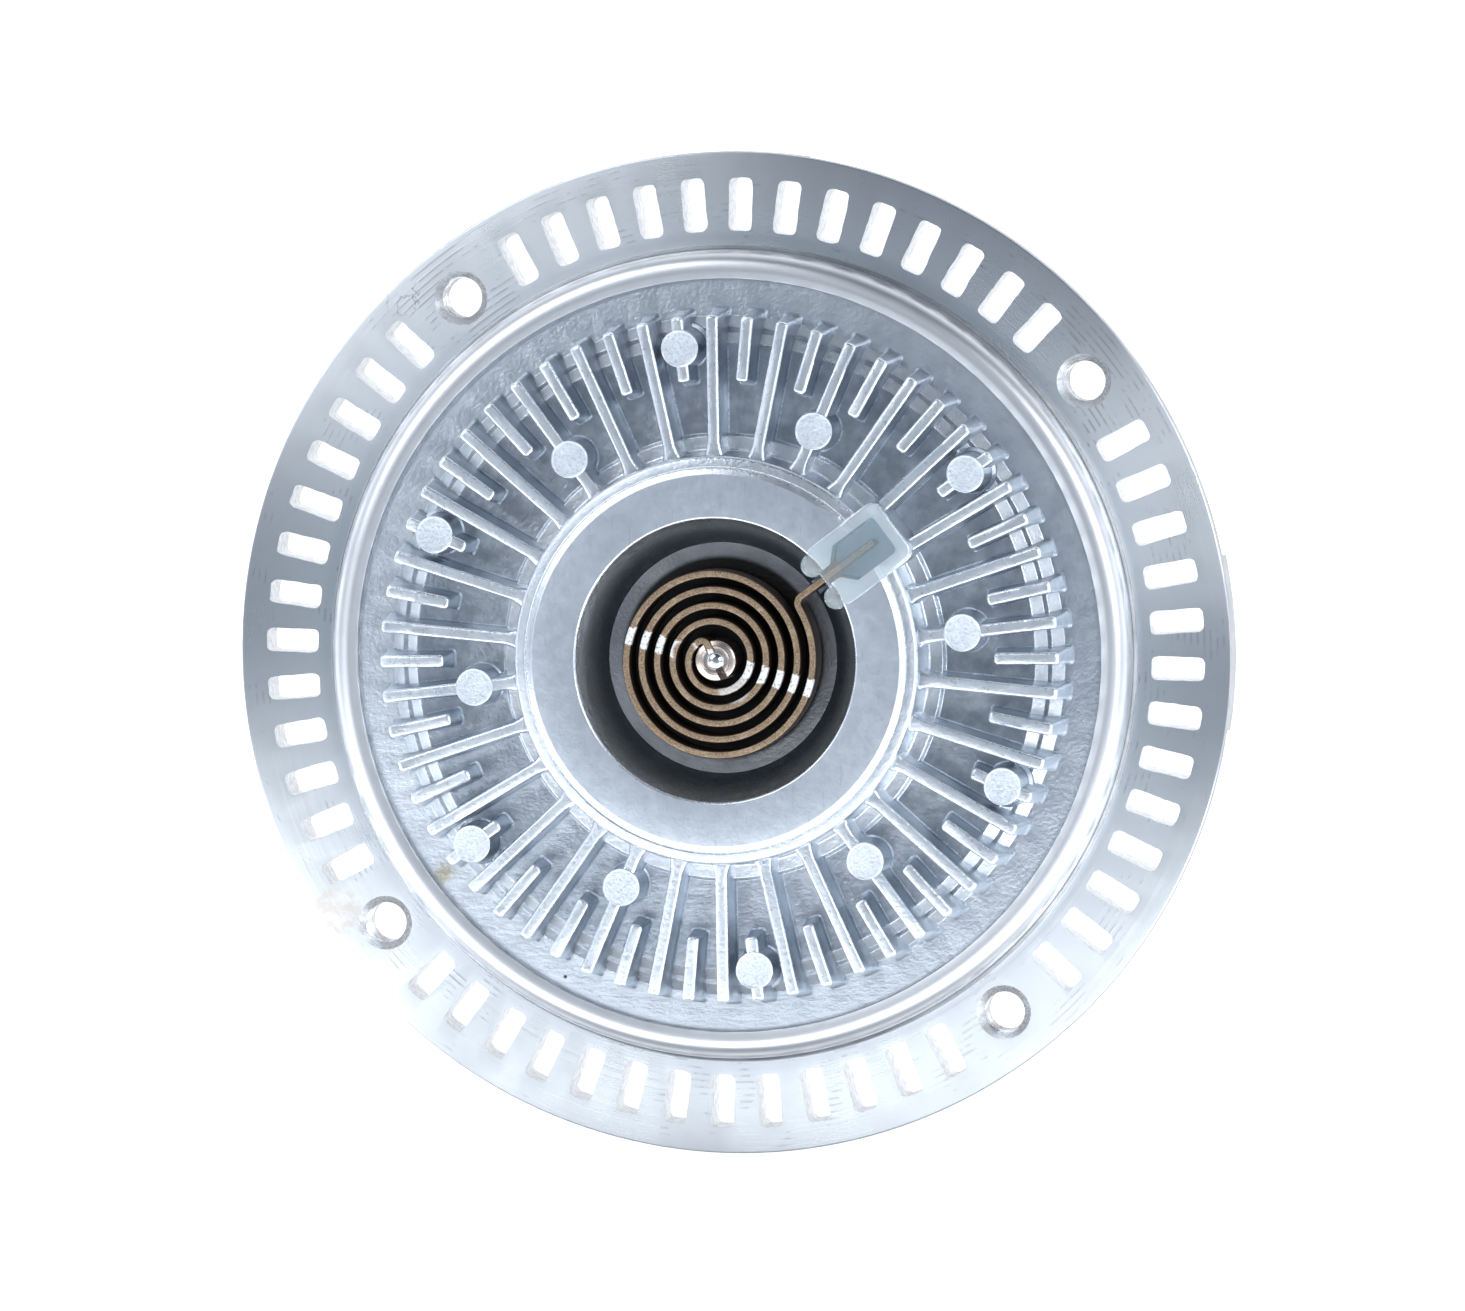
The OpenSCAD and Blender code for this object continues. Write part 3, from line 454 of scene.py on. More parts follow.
HUB_TAP_R, HUB_ROOT_R, HUB_PITCH = 4.25, 4.95, 1.5
SLIVER_MM = 5e-4
input_shaft = turned("input_shaft_turned", [
    (0, 4, 0), (10.7, 4, 0.3), (11, 0, 0.4), (19, 0, 0.8), (19, 8, 0.8), (11.25, 8, 0.5),
    (11.25, 12, 0.3), (8.5, 12, 0.2), (8.5, 24, 0.3), (7, 24, 0.2), (7, 37.5, 0),
    (8.5, 37.5, 0.2), (8.4, 38.7, 0.5), (0, 38.4, 0),
], 96)
hub_hole = turned("hub_hole", [
    (0, 3, 0), (5.4, 3, 0), (5.4, 4, 0), (HUB_TAP_R, 5.1, 0), (HUB_TAP_R, 26, 0), (0, 28.2, 0),
], 50)
combine(input_shaft, hub_hole, "DIFFERENCE")
combine(input_shaft, thread(HUB_TAP_R, HUB_ROOT_R, HUB_PITCH, 4.2, 13), "DIFFERENCE")
shaft_steel = steel("shaft_steel_turned", (0.50, 0.51, 0.53), 0.26, 2.5)
apply(input_shaft, "WELD", merge_threshold=SLIVER_MM)
seat(input_shaft, "drive", "shaft_steel", [shaft_steel], "input_shaft")

# Ball bearing. Ground rings and balls, a pressed cage riveted between the balls, two moulded
# seals and the circlip that keeps it in the housing. All of it keeps its own CAD shape.
bearing_steel = steel("bearing_steel_ground", (0.62, 0.62, 0.64), 0.14, 4.0)
spring_steel = steel("spring_steel_oiled", (0.16, 0.16, 0.17), 0.38, 1.2)


def zinc(name):
    """Zinc plated sheet, with its small spangles and the marks of the rolls."""
    finish = Finish(name)
    cells = {"Vector": finish.place, "Scale": 0.8}
    spangle = finish.place.node("TexVoronoi", {"feature": "F1"}, cells, 1)
    grey = finish.place.node("SeparateColor", None, {0: spangle})
    rolled = finish.noise(1.0, 3.0, 0.6, finish.stretched(0.2, 4.0, 0.2))
    return finish.set(
        Base_Color=(grey * 0.6 + rolled * 0.4).tint((0.50, 0.50, 0.48), (0.66, 0.66, 0.63)),
        Metallic=1.0,
        Roughness=0.30 + rolled * 0.16,
        Normal=finish.bump(rolled, 0.015),
    )


def moulded(name, colour, grain):
    """Moulded rubber or plastic, with a fine grain and a little bloom."""
    finish = Finish(name)
    skin = finish.noise(grain, 3.0, 0.6)
    bloom = finish.noise(0.3, 4.0).rise(0.5, 0.8)
    pale = tuple(c * 1.6 + 0.01 for c in colour)
    return finish.set(
        Base_Color=bloom.tint(colour, pale),
        Roughness=0.55 + skin * 0.2,
        Normal=finish.bump(skin, 0.04),
    )


def dress(material, *names):
    """Give CAD nodes that keep their shape a material."""
    for name in names:
        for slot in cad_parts[name].material_slots:
            slot.material = material


zinc_sheet = zinc("zinc_sheet")
seal_rubber = moulded("seal_rubber_moulded", (0.018, 0.018, 0.020), 3.0)
dress(bearing_steel, "bearing_outer_ring", "bearing_inner_ring", "bearing_balls")
dress(zinc_sheet, "bearing_cage_front", "bearing_cage_rear", "bearing_cage_rivets")
dress(seal_rubber, "bearing_front_seal", "bearing_rear_seal")
dress(spring_steel, "bearing_circlip")

# Rotor, separator plate, valve arm, scoop and round seals. They work in the fluid inside the
# closed housing, out of sight, so they keep their CAD shape under an oily finish.
rotor_finish = Finish("rotor_turned")
rotor_lines = rotor_finish.noise(1.6, 3.0, 0.6, rotor_finish.vector(rotor_finish.r, 0.0, 0.0))
rotor_oil = rotor_finish.noise(0.08, 4.0).rise(0.4, 0.7)
rotor_aluminium = rotor_finish.set(
    Base_Color=rotor_oil.tint((0.66, 0.66, 0.68), (0.54, 0.54, 0.55)),
    Metallic=1.0,
    Roughness=0.24 + rotor_lines * 0.2,
    Normal=rotor_finish.bump(rotor_lines, 0.03),
)
dress(rotor_aluminium, "rotor")
dress(zinc_sheet, "separator_plate", "valve_arm")
dress(seal_rubber, "cover_seal", "valve_shaft_seal")
dress(moulded("scoop_plastic_moulded", (0.03, 0.03, 0.033), 2.0), "fluid_scoop")

# Housing. One aluminium die casting with cooling fins on its rear. The front of its flange is
# turned, its slots are cored with some flash, and its lip is rolled over the edge of the cover.
LIP_R = 68.4
FLANGE_R = 85
BOLT_CIRCLE_R = 76
BOLT_ANGLE = 38.4
BOLTS = 4
RIDGES, RIDGE_R, RIDGE_PITCH, RIDGE_HALF = 6, 56.0, 3.2, 0.55
CHAMBER_Z, RIDGE_Z = 28.5, 33.0
BOSS_BORE = 20.0
REAR_Z, FLANGE_REAR = 24.0, 38.0
housing_ridges = []
for ridge in range(RIDGES):
    outer_r = RIDGE_R - RIDGE_PITCH * ridge + RIDGE_HALF
    inner_r = RIDGE_R - RIDGE_PITCH * ridge - RIDGE_HALF
    housing_ridges += [
        (outer_r, CHAMBER_Z, 0), (outer_r, RIDGE_Z, 0), (inner_r, RIDGE_Z, 0), (inner_r, CHAMBER_Z, 0),
    ]
housing = turned("housing_casting", [
    (BOSS_BORE, 8.8, 0.4), (25.5, 8.8, 1.2), (25.9, REAR_Z, 1.4), (66.6, REAR_Z, 3.2),
    (LIP_R, FLANGE_REAR, 1.2), (81.0, FLANGE_REAR, 0.5), (FLANGE_R, 43.5, 0.4),
    (FLANGE_R, FLANGE_Z, 0.3), (69.3, FLANGE_Z, 0.12),
    (69.15, 45.85, 0), (68.55, 46.1, 0.3), (LIP_R, 51.2, 2.9), (65.0, 51.2, 3.0),
    (63.7, 50.95, 0.15), (63.7, 49.85, 0), (64.55, 49.85, 0), (64.55, 40.0, 0), (60.3, 40.0, 0),
    (60.3, CHAMBER_Z, 0.6), *housing_ridges, (19.5, CHAMBER_Z, 0), (19.5, REAR_Z, 0),
    (BOSS_BORE, REAR_Z, 0), (BOSS_BORE, 12.0, 0), (21.0, 12.0, 0), (21.0, 10.4, 0),
    (BOSS_BORE, 10.4, 0),
], 192)
LAND_MIDDLE, LAND_SPAN = 2.3, 20
rim_land = turned("rim_land", [
    (76.5, FLANGE_REAR, 0.4), (84.95, FLANGE_REAR, 0.5), (84.95, 45.0, 0), (76.5, 45.0, 0),
], 12, math.radians(LAND_SPAN))
combine(housing, copies(rim_land, round_turns(LAND_MIDDLE + LAND_SPAN / 2, 4)), "UNION")


def block(name, middle, size, turn=0.0):
    """A block about a middle, turned about the axis."""
    only(None)
    bpy.ops.mesh.primitive_cube_add(size=1)
    piece = bpy.context.object
    piece.name = name
    piece.data.transform(
        Matrix.Rotation(turn, 4, "Z") @ Matrix.Translation(middle) @ Matrix.Diagonal((*size, 1))
    )
    return piece


def upright(edge, least=1.0):
    """Whether an edge of a block runs up or down."""
    return abs(edge.verts[0].co.z - edge.verts[1].co.z) > least


REAR_FINS = 36
KNEE_R, KNEE_DROP = 31.5, 1.34
rear_fin = block("rear_fin", (44.0, 0, 18.3), (39.0, 3.3, 12.6))
bpy.ops.object.mode_set(mode="EDIT")
pick(rear_fin, "FACE", lambda f: f.normal.z < -0.9)
bpy.ops.transform.resize(value=(1, 0.6, 1))
pick(rear_fin, "VERT", lambda v: v.co.x > 60 and v.co.z < 15)
bpy.ops.transform.translate(value=(-2.5, 0, 7.0))
bpy.ops.mesh.select_all(action="SELECT")
bpy.ops.mesh.bisect(plane_co=(KNEE_R, 0, 0), plane_no=(1, 0, 0))
pick(rear_fin, "VERT", lambda v: abs(v.co.x - KNEE_R) < 0.01 and v.co.z < 20)
bpy.ops.transform.translate(value=(0, 0, -KNEE_DROP))
pick(rear_fin, "EDGE", lambda e: all(v.co.z < 20 for v in e.verts))
bpy.ops.mesh.bevel(offset=0.6, segments=3, affect="EDGES")
bpy.ops.object.mode_set(mode="OBJECT")
combine(housing, copies(rear_fin, round_turns(0, REAR_FINS)), "UNION")

SLOT_R, SLOT_SIZE = 76.1, (9.0, 4.0, 10.0)
SLOTS, FIRST_SLOT, SLOT_PITCH = 13, 9, 6
SLOT_ROUGH = 0.15
slot = block("slot", (SLOT_R, 0, 42.0), SLOT_SIZE)
bpy.ops.object.mode_set(mode="EDIT")
pick(slot, "EDGE", upright)
bpy.ops.mesh.bevel(offset=1.0, segments=3, affect="EDGES")
pick(slot, "EDGE", lambda e: e.calc_length() > 5)
bpy.ops.mesh.subdivide(number_cuts=4)
bpy.ops.object.mode_set(mode="OBJECT")
slot_turns = []
for k in range(BOLTS):
    first = BOLT_ANGLE + 90 * k + FIRST_SLOT
    slot_turns += [math.radians(first + SLOT_PITCH * i) for i in range(SLOTS)]
combine(housing, copies(slot, slot_turns, SLOT_ROUGH), "DIFFERENCE")

TAP_R, TAP_ROOT_R, TAP_PITCH = 3.4, 3.95, 1.25
screw_hole = turned("screw_hole", [
    (0, 37, 0), (4.0, 37, 0), (4.0, FLANGE_REAR, 0), (TAP_R, 38.6, 0), (TAP_R, 44.8, 0),
    (4.6, FLANGE_Z, 0), (4.6, 47, 0), (0, 47, 0),
], 48)
hole_places = round_turns(BOLT_ANGLE, BOLTS)
combine(housing, copies(moved(screw_hole, 0, (BOLT_CIRCLE_R, 0, 0)), hole_places), "DIFFERENCE")
screw_thread = moved(thread(TAP_R, TAP_ROOT_R, TAP_PITCH, 38.6, 5), 0, (BOLT_CIRCLE_R, 0, 0))
combine(housing, copies(screw_thread, hole_places), "DIFFERENCE")

turned_face = Finish("flange_turned")
feed = turned_face.noise(3.2, 2.0, 0.6, turned_face.vector(turned_face.r, 0.0, 0.0))
drawn_out = turned_face.vector(turned_face.r, turned_face.x * 0.02, 0.0)
chatter = turned_face.noise(0.9, 1.0, 0.5, drawn_out)
passes = turned_face.place.math("SINE", turned_face.r * (math.tau / 1.1)).rise(0.2, 0.9)
near_holes = turned_face.spot(62.0, 44.0, 12.0, 8.0) + turned_face.spot(-50.0, 62.0, 11.0, 7.0)
dashes = passes * (turned_face.noise(0.16, 3.0, 0.7) + near_holes * 0.12).rise(0.56, 0.66)
bloom = turned_face.noise(0.05, 4.0).rise(0.35, 0.75)
brown = turned_face.spot(-68.3, -45.6, 4.4, 1.8) * turned_face.noise(0.5, 4.0).rise(0.3, 0.6)
speck = turned_face.noise(1.6, 2.0).rise(0.70, 0.76)
crack = turned_face.noise(0.35, 3.0).band(0.49, 0.505, 0.008)
crack = crack * turned_face.spot(-57.6, 59.7, 3.2, 0.6)
# The turned face is painted lighter near the lip and darker toward its outer edge: painted light and shade.
lit_inner_colour = bloom.tint((0.86, 0.90, 0.94), (0.77, 0.81, 0.855))
shaded_outer_colour = bloom.tint((0.72, 0.75, 0.78), (0.645, 0.675, 0.71))
face_colour = stained(
    turned_face.r.rise(68.0, 86.0).tint(lit_inner_colour, shaded_outer_colour),
    (dashes * (0.5 + near_holes * 0.3), (0.47, 0.49, 0.52)),
    (brown * 0.8, (0.60, 0.55, 0.50)),
    (crack * 0.8, (0.26, 0.28, 0.31)),
)
flange_turned = turned_face.set(
    Base_Color=face_colour,
    Metallic=1.0,
    Roughness=0.235 + feed * 0.08 + bloom * 0.05 + brown * 0.05 + speck * 0.1,
    Anisotropic=0.88,
    Anisotropic_Rotation=0.25,
    Normal=turned_face.bump(feed * 0.6 + chatter + dashes * 0.5, 0.02),
)

rolled_lip = Finish("lip_rolled")
roll_lines = rolled_lip.noise(4.0, 2.0, 0.6, rolled_lip.vector(rolled_lip.r, rolled_lip.z, 0.0))
lip_mist = rolled_lip.noise(0.15, 4.0).rise(0.4, 0.8)
lip_rolled = rolled_lip.set(
    Base_Color=lip_mist.tint((0.80, 0.82, 0.85), (0.68, 0.70, 0.74)),
    Metallic=1.0,
    Roughness=0.31 + roll_lines * 0.08 + lip_mist * 0.06,
    Normal=rolled_lip.bump(roll_lines, 0.002),
)

cast_skin = Finish("housing_cast")
skin_grain = cast_skin.noise(1.2, 4.0, 0.6)
skin_flow = cast_skin.noise(0.12, 4.0)
housing_cast = cast_skin.set(
    Base_Color=skin_flow.rise(0.3, 0.7).tint((0.31, 0.32, 0.34), (0.45, 0.46, 0.48)),
    Metallic=1.0,
    Roughness=0.34 + skin_grain * 0.18,
    Normal=cast_skin.bump(skin_grain + skin_flow * 0.6, 0.05),
)
tapped = Finish("hole_tapped")
swarf = tapped.noise(0.9, 3.0).rise(0.45, 0.7)
hole_tapped = tapped.set(
    Base_Color=swarf.tint((0.86, 0.87, 0.89), (0.76, 0.73, 0.70)),
    Metallic=1.0,
    Roughness=0.22 + swarf * 0.15,
    Normal=tapped.bump(tapped.noise(2.5, 3.0), 0.03),
)
cored = Finish("slot_cored")
flash = cored.noise(0.8, 4.0, 0.7)
slot_cored = cored.set(
    Base_Color=flash.rise(0.38, 0.6).tint((0.74, 0.76, 0.79), (0.97, 0.97, 0.98)),
    Metallic=0.8,
    Roughness=0.38 + flash * 0.2,
    Normal=cored.bump(flash, 0.10),
)
CAST, TURNED, ROLLED, TAPPED, CORED = range(5)
HOLE_MOUTH_R = 4.7
hole_middles = [BOLT_CIRCLE_R * Vector((math.cos(turn), math.sin(turn))) for turn in hole_places]
housing_faces = []
for face in housing.data.polygons:
    radius = math.hypot(face.center.x, face.center.y)
    height, front = face.center.z, face.normal.z
    surface = CAST
    if radius > 69.0 and height > FLANGE_Z - 0.3 and front > 0.5:
        surface = TURNED
    elif radius > 63.4 and height > FLANGE_Z + 0.2:
        surface = ROLLED
    in_hole = any((face.center.xy - middle).length < HOLE_MOUTH_R for middle in hole_middles)
    if front < 0.9 and in_hole:
        surface = TAPPED
    elif 70.5 < radius < 81.5 and abs(front) < 0.5 and height > FLANGE_REAR + 0.2:
        surface = CORED
    housing_faces.append(surface)
housing_finishes = [housing_cast, flange_turned, lip_rolled, hole_tapped, slot_cored]
seat(housing, "driven", "housing_aluminium", housing_finishes, "housing")
for face, surface in zip(housing.data.polygons, housing_faces):
    face.material_index = surface

# Front cover. An aluminium die casting with long and short fins, round pads where the ejectors
# pushed, a stepped rim, and a collar round the recess of the coil. The lip holds it, and two
# pins inside it stop the valve arm.
COVER_TAIL = math.radians(37.5)
COLLAR_Z, RECESS_Z, LEDGE_Z, GROUND_Z, STEP_Z, RIM_Z = 62.4, 54.3, 54.0, 53.0, 51.4, 49.8
RIM_R, VALVE_BORE, BOSS_R, BOSS_Z = 64.5, 2.79, 8.0, 42.4
cover = turned("front_cover_casting", [
    (VALVE_BORE, BOSS_Z, 0), (VALVE_BORE, RECESS_Z, 0.2), (19.5, RECESS_Z, 0.12),
    (24.0, COLLAR_Z, 0.4), (31.3, COLLAR_Z, 0.6), (32.3, 62.0, 0.2), (32.45, 61.82, 0.05),
    (32.6, 61.95, 0.15), (34.4, 61.6, 0.9), (34.9, LEDGE_Z, 0.5), (37.4, LEDGE_Z, 0.3),
    (37.8, GROUND_Z, 0.3), (52.9, GROUND_Z, 0.4), (54.8, STEP_Z, 0.3), (55.6, STEP_Z, 0.4),
    (57.5, RIM_Z, 0.3), (RIM_R, RIM_Z, 0.1), (RIM_R, 46.5, 0), (62.7, 46.5, 0),
    (62.7, 44.1, 0), (RIM_R, 44.1, 0), (RIM_R, 40.8, 0), (60.3, 40.8, 0), (59.9, 46.4, 0.5),
    (51.9, 46.4, 0.5), (49.8, 49.6, 0.5), (33.1, 49.6, 0.8), (31.1, 59.0, 0.8), (26.2, 59.0, 0.8),
    (21.5, 50.9, 0.5), (BOSS_R, 50.9, 0.5), (BOSS_R, BOSS_Z, 0),
], 180)
FIN_Z = (48.8, 60.0)
FIN_FOOT_W = 3.0
FIN_TOP_W = 2.1
FIN_END_SLOPE = 1.0
FOOT_END = 52.4
FIN_INNER_SLOPE = 0.9
FIN_START, SHORT_START, FIN_END = 33.6, 46.0, 58.8
GROUND_FILLET = ((52.8, 1.32, -0.48), (53.2, 1.09, -0.12))
RIM_FILLET = ((49.6, 1.28, 0.50), (50.05, 1.07, 0.13))
FIN_CUTS = (49.6, 50.05, 50.5, 52.8, 53.2, 53.7)
COLLAR_CUTS = (35.4, 36.6)
COLLAR_FILLET = ((33.0, 34.4, 1.8), (34.4, 36.0, 1.2))


def fin(name, r0, r1, inner_round):
    """A drafted cooling fin along X, with a sloped outer end, rounded top and a filleted foot."""
    low, high = FIN_Z
    middle = ((r0 + r1) / 2, 0, (low + high) / 2)
    piece = block(name, middle, (r1 - r0, FIN_FOOT_W, high - low))
    bpy.ops.object.mode_set(mode="EDIT")
    pick(piece, "FACE", lambda f: f.normal.z > 0.9)
    bpy.ops.transform.resize(value=(1, FIN_TOP_W / FIN_FOOT_W, 1), center_override=(0, 0, 0))
    pick(piece, "VERT", lambda v: v.co.z > high - 1 and v.co.x > r1 - 1)
    bpy.ops.transform.translate(value=(-FIN_END_SLOPE, 0, 0))
    if inner_round:
        pick(piece, "VERT", lambda v: v.co.z > high - 1 and v.co.x < r0 + 1)
        bpy.ops.transform.translate(value=(FIN_INNER_SLOPE, 0, 0))
    pick(piece, "EDGE", lambda e: upright(e) and (inner_round or e.verts[0].co.x > r1 - 3))
    bpy.ops.mesh.bevel(offset=0.65, segments=3, affect="EDGES")
    pick(piece, "FACE", lambda f: f.normal.z > 0.9)
    bpy.ops.mesh.region_to_loop()
    bpy.ops.mesh.bevel(offset=0.5, segments=4, affect="EDGES")
    for cut_z in FIN_CUTS:
        bpy.ops.mesh.select_all(action="SELECT")
        bpy.ops.mesh.bisect(plane_co=(0, 0, cut_z), plane_no=(0, 0, 1))
    for cut_x in (FOOT_END, FOOT_END + 0.6) + (() if inner_round else COLLAR_CUTS):
        bpy.ops.mesh.select_all(action="SELECT")
        bpy.ops.mesh.bisect(plane_co=(cut_x, 0, 0), plane_no=(1, 0, 0))
    for foot_z, share, push in GROUND_FILLET:
        pick(piece, "VERT", lambda v: abs(v.co.z - foot_z) < 0.05 and v.co.x < FOOT_END + 0.1)
        bpy.ops.transform.resize(value=(1, share, 1), center_override=(0, 0, 0))
        if inner_round:
            pick(piece, "VERT", lambda v: abs(v.co.z - foot_z) < 0.05 and v.co.x < r0 + 1)
            bpy.ops.transform.translate(value=(push, 0, 0))
    for foot_z, share, push in RIM_FILLET:
        pick(piece, "VERT", lambda v: abs(v.co.z - foot_z) < 0.05 and v.co.x > FIN_END - 1.2)
        bpy.ops.transform.resize(value=(1, share, 1), center_override=(0, 0, 0))
        bpy.ops.transform.translate(value=(push, 0, 0))
    if not inner_round:
        for near, far, share in COLLAR_FILLET:
            pick(piece, "VERT", lambda v: near < v.co.x < far)
            bpy.ops.transform.resize(value=(1, share, 1), center_override=(0, 0, 0))
    return closed(piece)


FINS, FIRST_FIN, FIRST_SHORT = 30, 7.5, 13.5
FIN_ROUGH = 0.05
long_fin = fin("long_fin", FIN_START, FIN_END, False)
combine(cover, copies(long_fin, round_turns(FIRST_FIN, FINS), FIN_ROUGH), "UNION")
short_fin = fin("short_fin", SHORT_START, FIN_END, True)
combine(cover, copies(short_fin, round_turns(FIRST_SHORT, FINS), FIN_ROUGH), "UNION")

PADS, INNER_PAD_R, OUTER_PAD_R = 6, 41.9, 52.6
pad_corners = [
    (0, 50.0, 0), (4.1, 50.0, 0), (4.1, 52.7, 0), (3.5, 53.35, 0.4), (3.15, 60.3, 0.14),
    (2.75, 60.12, 0.1), (0, 60.12, 0),
]
for pad_r, first in ((INNER_PAD_R, FIRST_FIN), (OUTER_PAD_R, FIRST_FIN + 180 / PADS)):
    pad = moved(turned("pad", pad_corners, 40), 0, (pad_r, 0, 0))
    combine(cover, copies(pad, round_turns(first, PADS)), "UNION")

tail_boss = block("tail_boss", (32.15, 0, 55.6), (12.3, 11.6, 13.4))
bpy.ops.object.mode_set(mode="EDIT")
pick(tail_boss, "EDGE", upright)
bpy.ops.mesh.bevel(offset=2.0, segments=4, affect="EDGES")
pick(tail_boss, "FACE", lambda f: f.normal.z > 0.9)
bpy.ops.mesh.region_to_loop()
bpy.ops.mesh.bevel(offset=0.5, segments=3, affect="EDGES")
bpy.ops.object.mode_set(mode="OBJECT")
combine(cover, moved(tail_boss, COVER_TAIL), "UNION")

UNDERSIDE = 49.62
OFF_EDGES = math.radians(1.1)
below_fins = turned("below_fins", [
    (25.5, 48.5, 0), (50.55, 48.5, 0), (49.82, UNDERSIDE, 0), (25.5, UNDERSIDE, 0),
], 150)
combine(cover, moved(below_fins, OFF_EDGES), "DIFFERENCE")
STOP_R, STOP_CIRCLE_R, STOP_LOW, STOP_TOP = 2.0, 12.9, 41.2, 51.4
STOP_TURNS = [math.radians(190.28), math.radians(274.72)]
stop_pin = turned("stop_pin", [
    (0, STOP_LOW, 0), (STOP_R, STOP_LOW, 0.15), (STOP_R, STOP_TOP, 0), (0, STOP_TOP, 0),
], 40)
combine(cover, copies(moved(stop_pin, 0, (STOP_CIRCLE_R, 0, 0)), STOP_TURNS), "UNION")


def prism(name, corners, low, height):
    """An upright solid over an outline of corners (x, y, rounding)."""
    outline = [Vector((p.x, p.y, low)) for p in rounded(corners)]
    piece = drawn(name, outline + outline[:1])
    merge()
    bpy.ops.mesh.edge_face_add()
    bpy.ops.mesh.extrude_region_move(TRANSFORM_OT_translate={"value": (0, 0, height)})
    return closed(piece)


tail_pocket = prism("tail_pocket", [
    (18.5, -1.3, 0), (25.5, -1.3, 0.8), (27.8, -3.6, 0.8), (36.1, -3.6, 1.0),
    (36.1, 3.6, 1.0), (27.8, 3.6, 0.8), (25.5, 1.3, 0.8), (18.5, 1.3, 0),
], 55.4, 9)
combine(cover, moved(tail_pocket, COVER_TAIL), "DIFFERENCE")

cast = Finish("cover_cast")
grain = cast.noise(1.4, 4.0, 0.65)
flow = cast.noise(0.10, 5.0, 0.6)
mottle = cast.noise(0.45, 4.0, 0.6)
cover_tone = flow.rise(0.35, 0.7) * 0.5 + mottle.rise(0.3, 0.75) * 0.5
low_ground = 1 - cast.z.rise(52.9, 55.0)
# The pocket floors between the fins are painted darker, and darker still in blotches: painted shade.
pocket_shade = low_ground * (1 - cast.r.rise(57.0, 58.5) * 0.75)
pocket_shade_colour = mottle.rise(0.3, 0.7).tint((0.27, 0.30, 0.34), (0.44, 0.475, 0.53))
pocket_shade_blotches = low_ground * flow.rise(0.50, 0.62) * (1 - cast.r.rise(56.0, 58.0))
# The ledge at the foot of the collar is painted pale: a painted highlight.
ledge_highlight = cast.r.band(34.6, 37.2, 0.2) * cast.z.band(53.7, 54.6, 0.2)
lower_left = (cast.x * -0.45 - cast.y * 0.9).rise(25.0, 45.0)
crumple = cast.noise(0.30, 6.0, 0.72, cast.stretched(0.6, 1.6, 1.0)) * low_ground * lower_left
outer_ring = cast.r.rise(57.5, 59.0)
# The outer rim is painted darker toward -Y: painted shade.
low_rim_shade = outer_ring * (cast.y * -1).rise(10.0, 45.0)
shoulder = cast.r.band(32.7, 34.2, 0.2) * cast.z.rise(61.0, 61.4)
pad_top = cast.z.band(60.09, 60.15, 0.03) * cast.r.rise(37.5, 38.0)
grit = cast.noise(2.0, 4.0, 0.7)
pits = (cast.r + mottle * 0.5).band(32.55, 32.8, 0.12) * cast.z.rise(60.5, 61.0)
pits = pits * grain.rise(0.4, 0.6)
recess = (1 - cast.r.rise(23.6, 24.4)) * (1 - cast.z.rise(60.5, COLLAR_Z))
recess_floor = recess * (1 - cast.z.rise(54.35, 54.6))
# The wall of the recess is painted dark and blue near its floor and pale near its top: painted shade and
# light.
recess_wall_shading = cast.z.rise(55.0, 61.0).tint((0.46, 0.54, 0.64), (0.80, 0.90, 0.98))
# The floor of the recess is painted dark, and almost black under the coil: painted shade and a painted
# shadow of the coil.
recess_floor_shade_colour = flow.rise(0.35, 0.7).tint((0.21, 0.21, 0.22), (0.34, 0.34, 0.35))
shadow_under_coil = (1 - cast.r.rise(16.6, 17.6)) * recess_floor
rust = cast.spot(-48.5, -38.2, 1.7, 0.9) * mottle.rise(0.35, 0.55)
nick = cast.spot(-27.5, -55.2, 0.3, 0.15)
fin_top = cast.z.band(59.6, 60.05, 0.1) * cast.r.rise(34.5, 35.0)
fin_wear = fin_top * cast.noise(0.9, 4.0, 0.65).rise(0.58, 0.68)
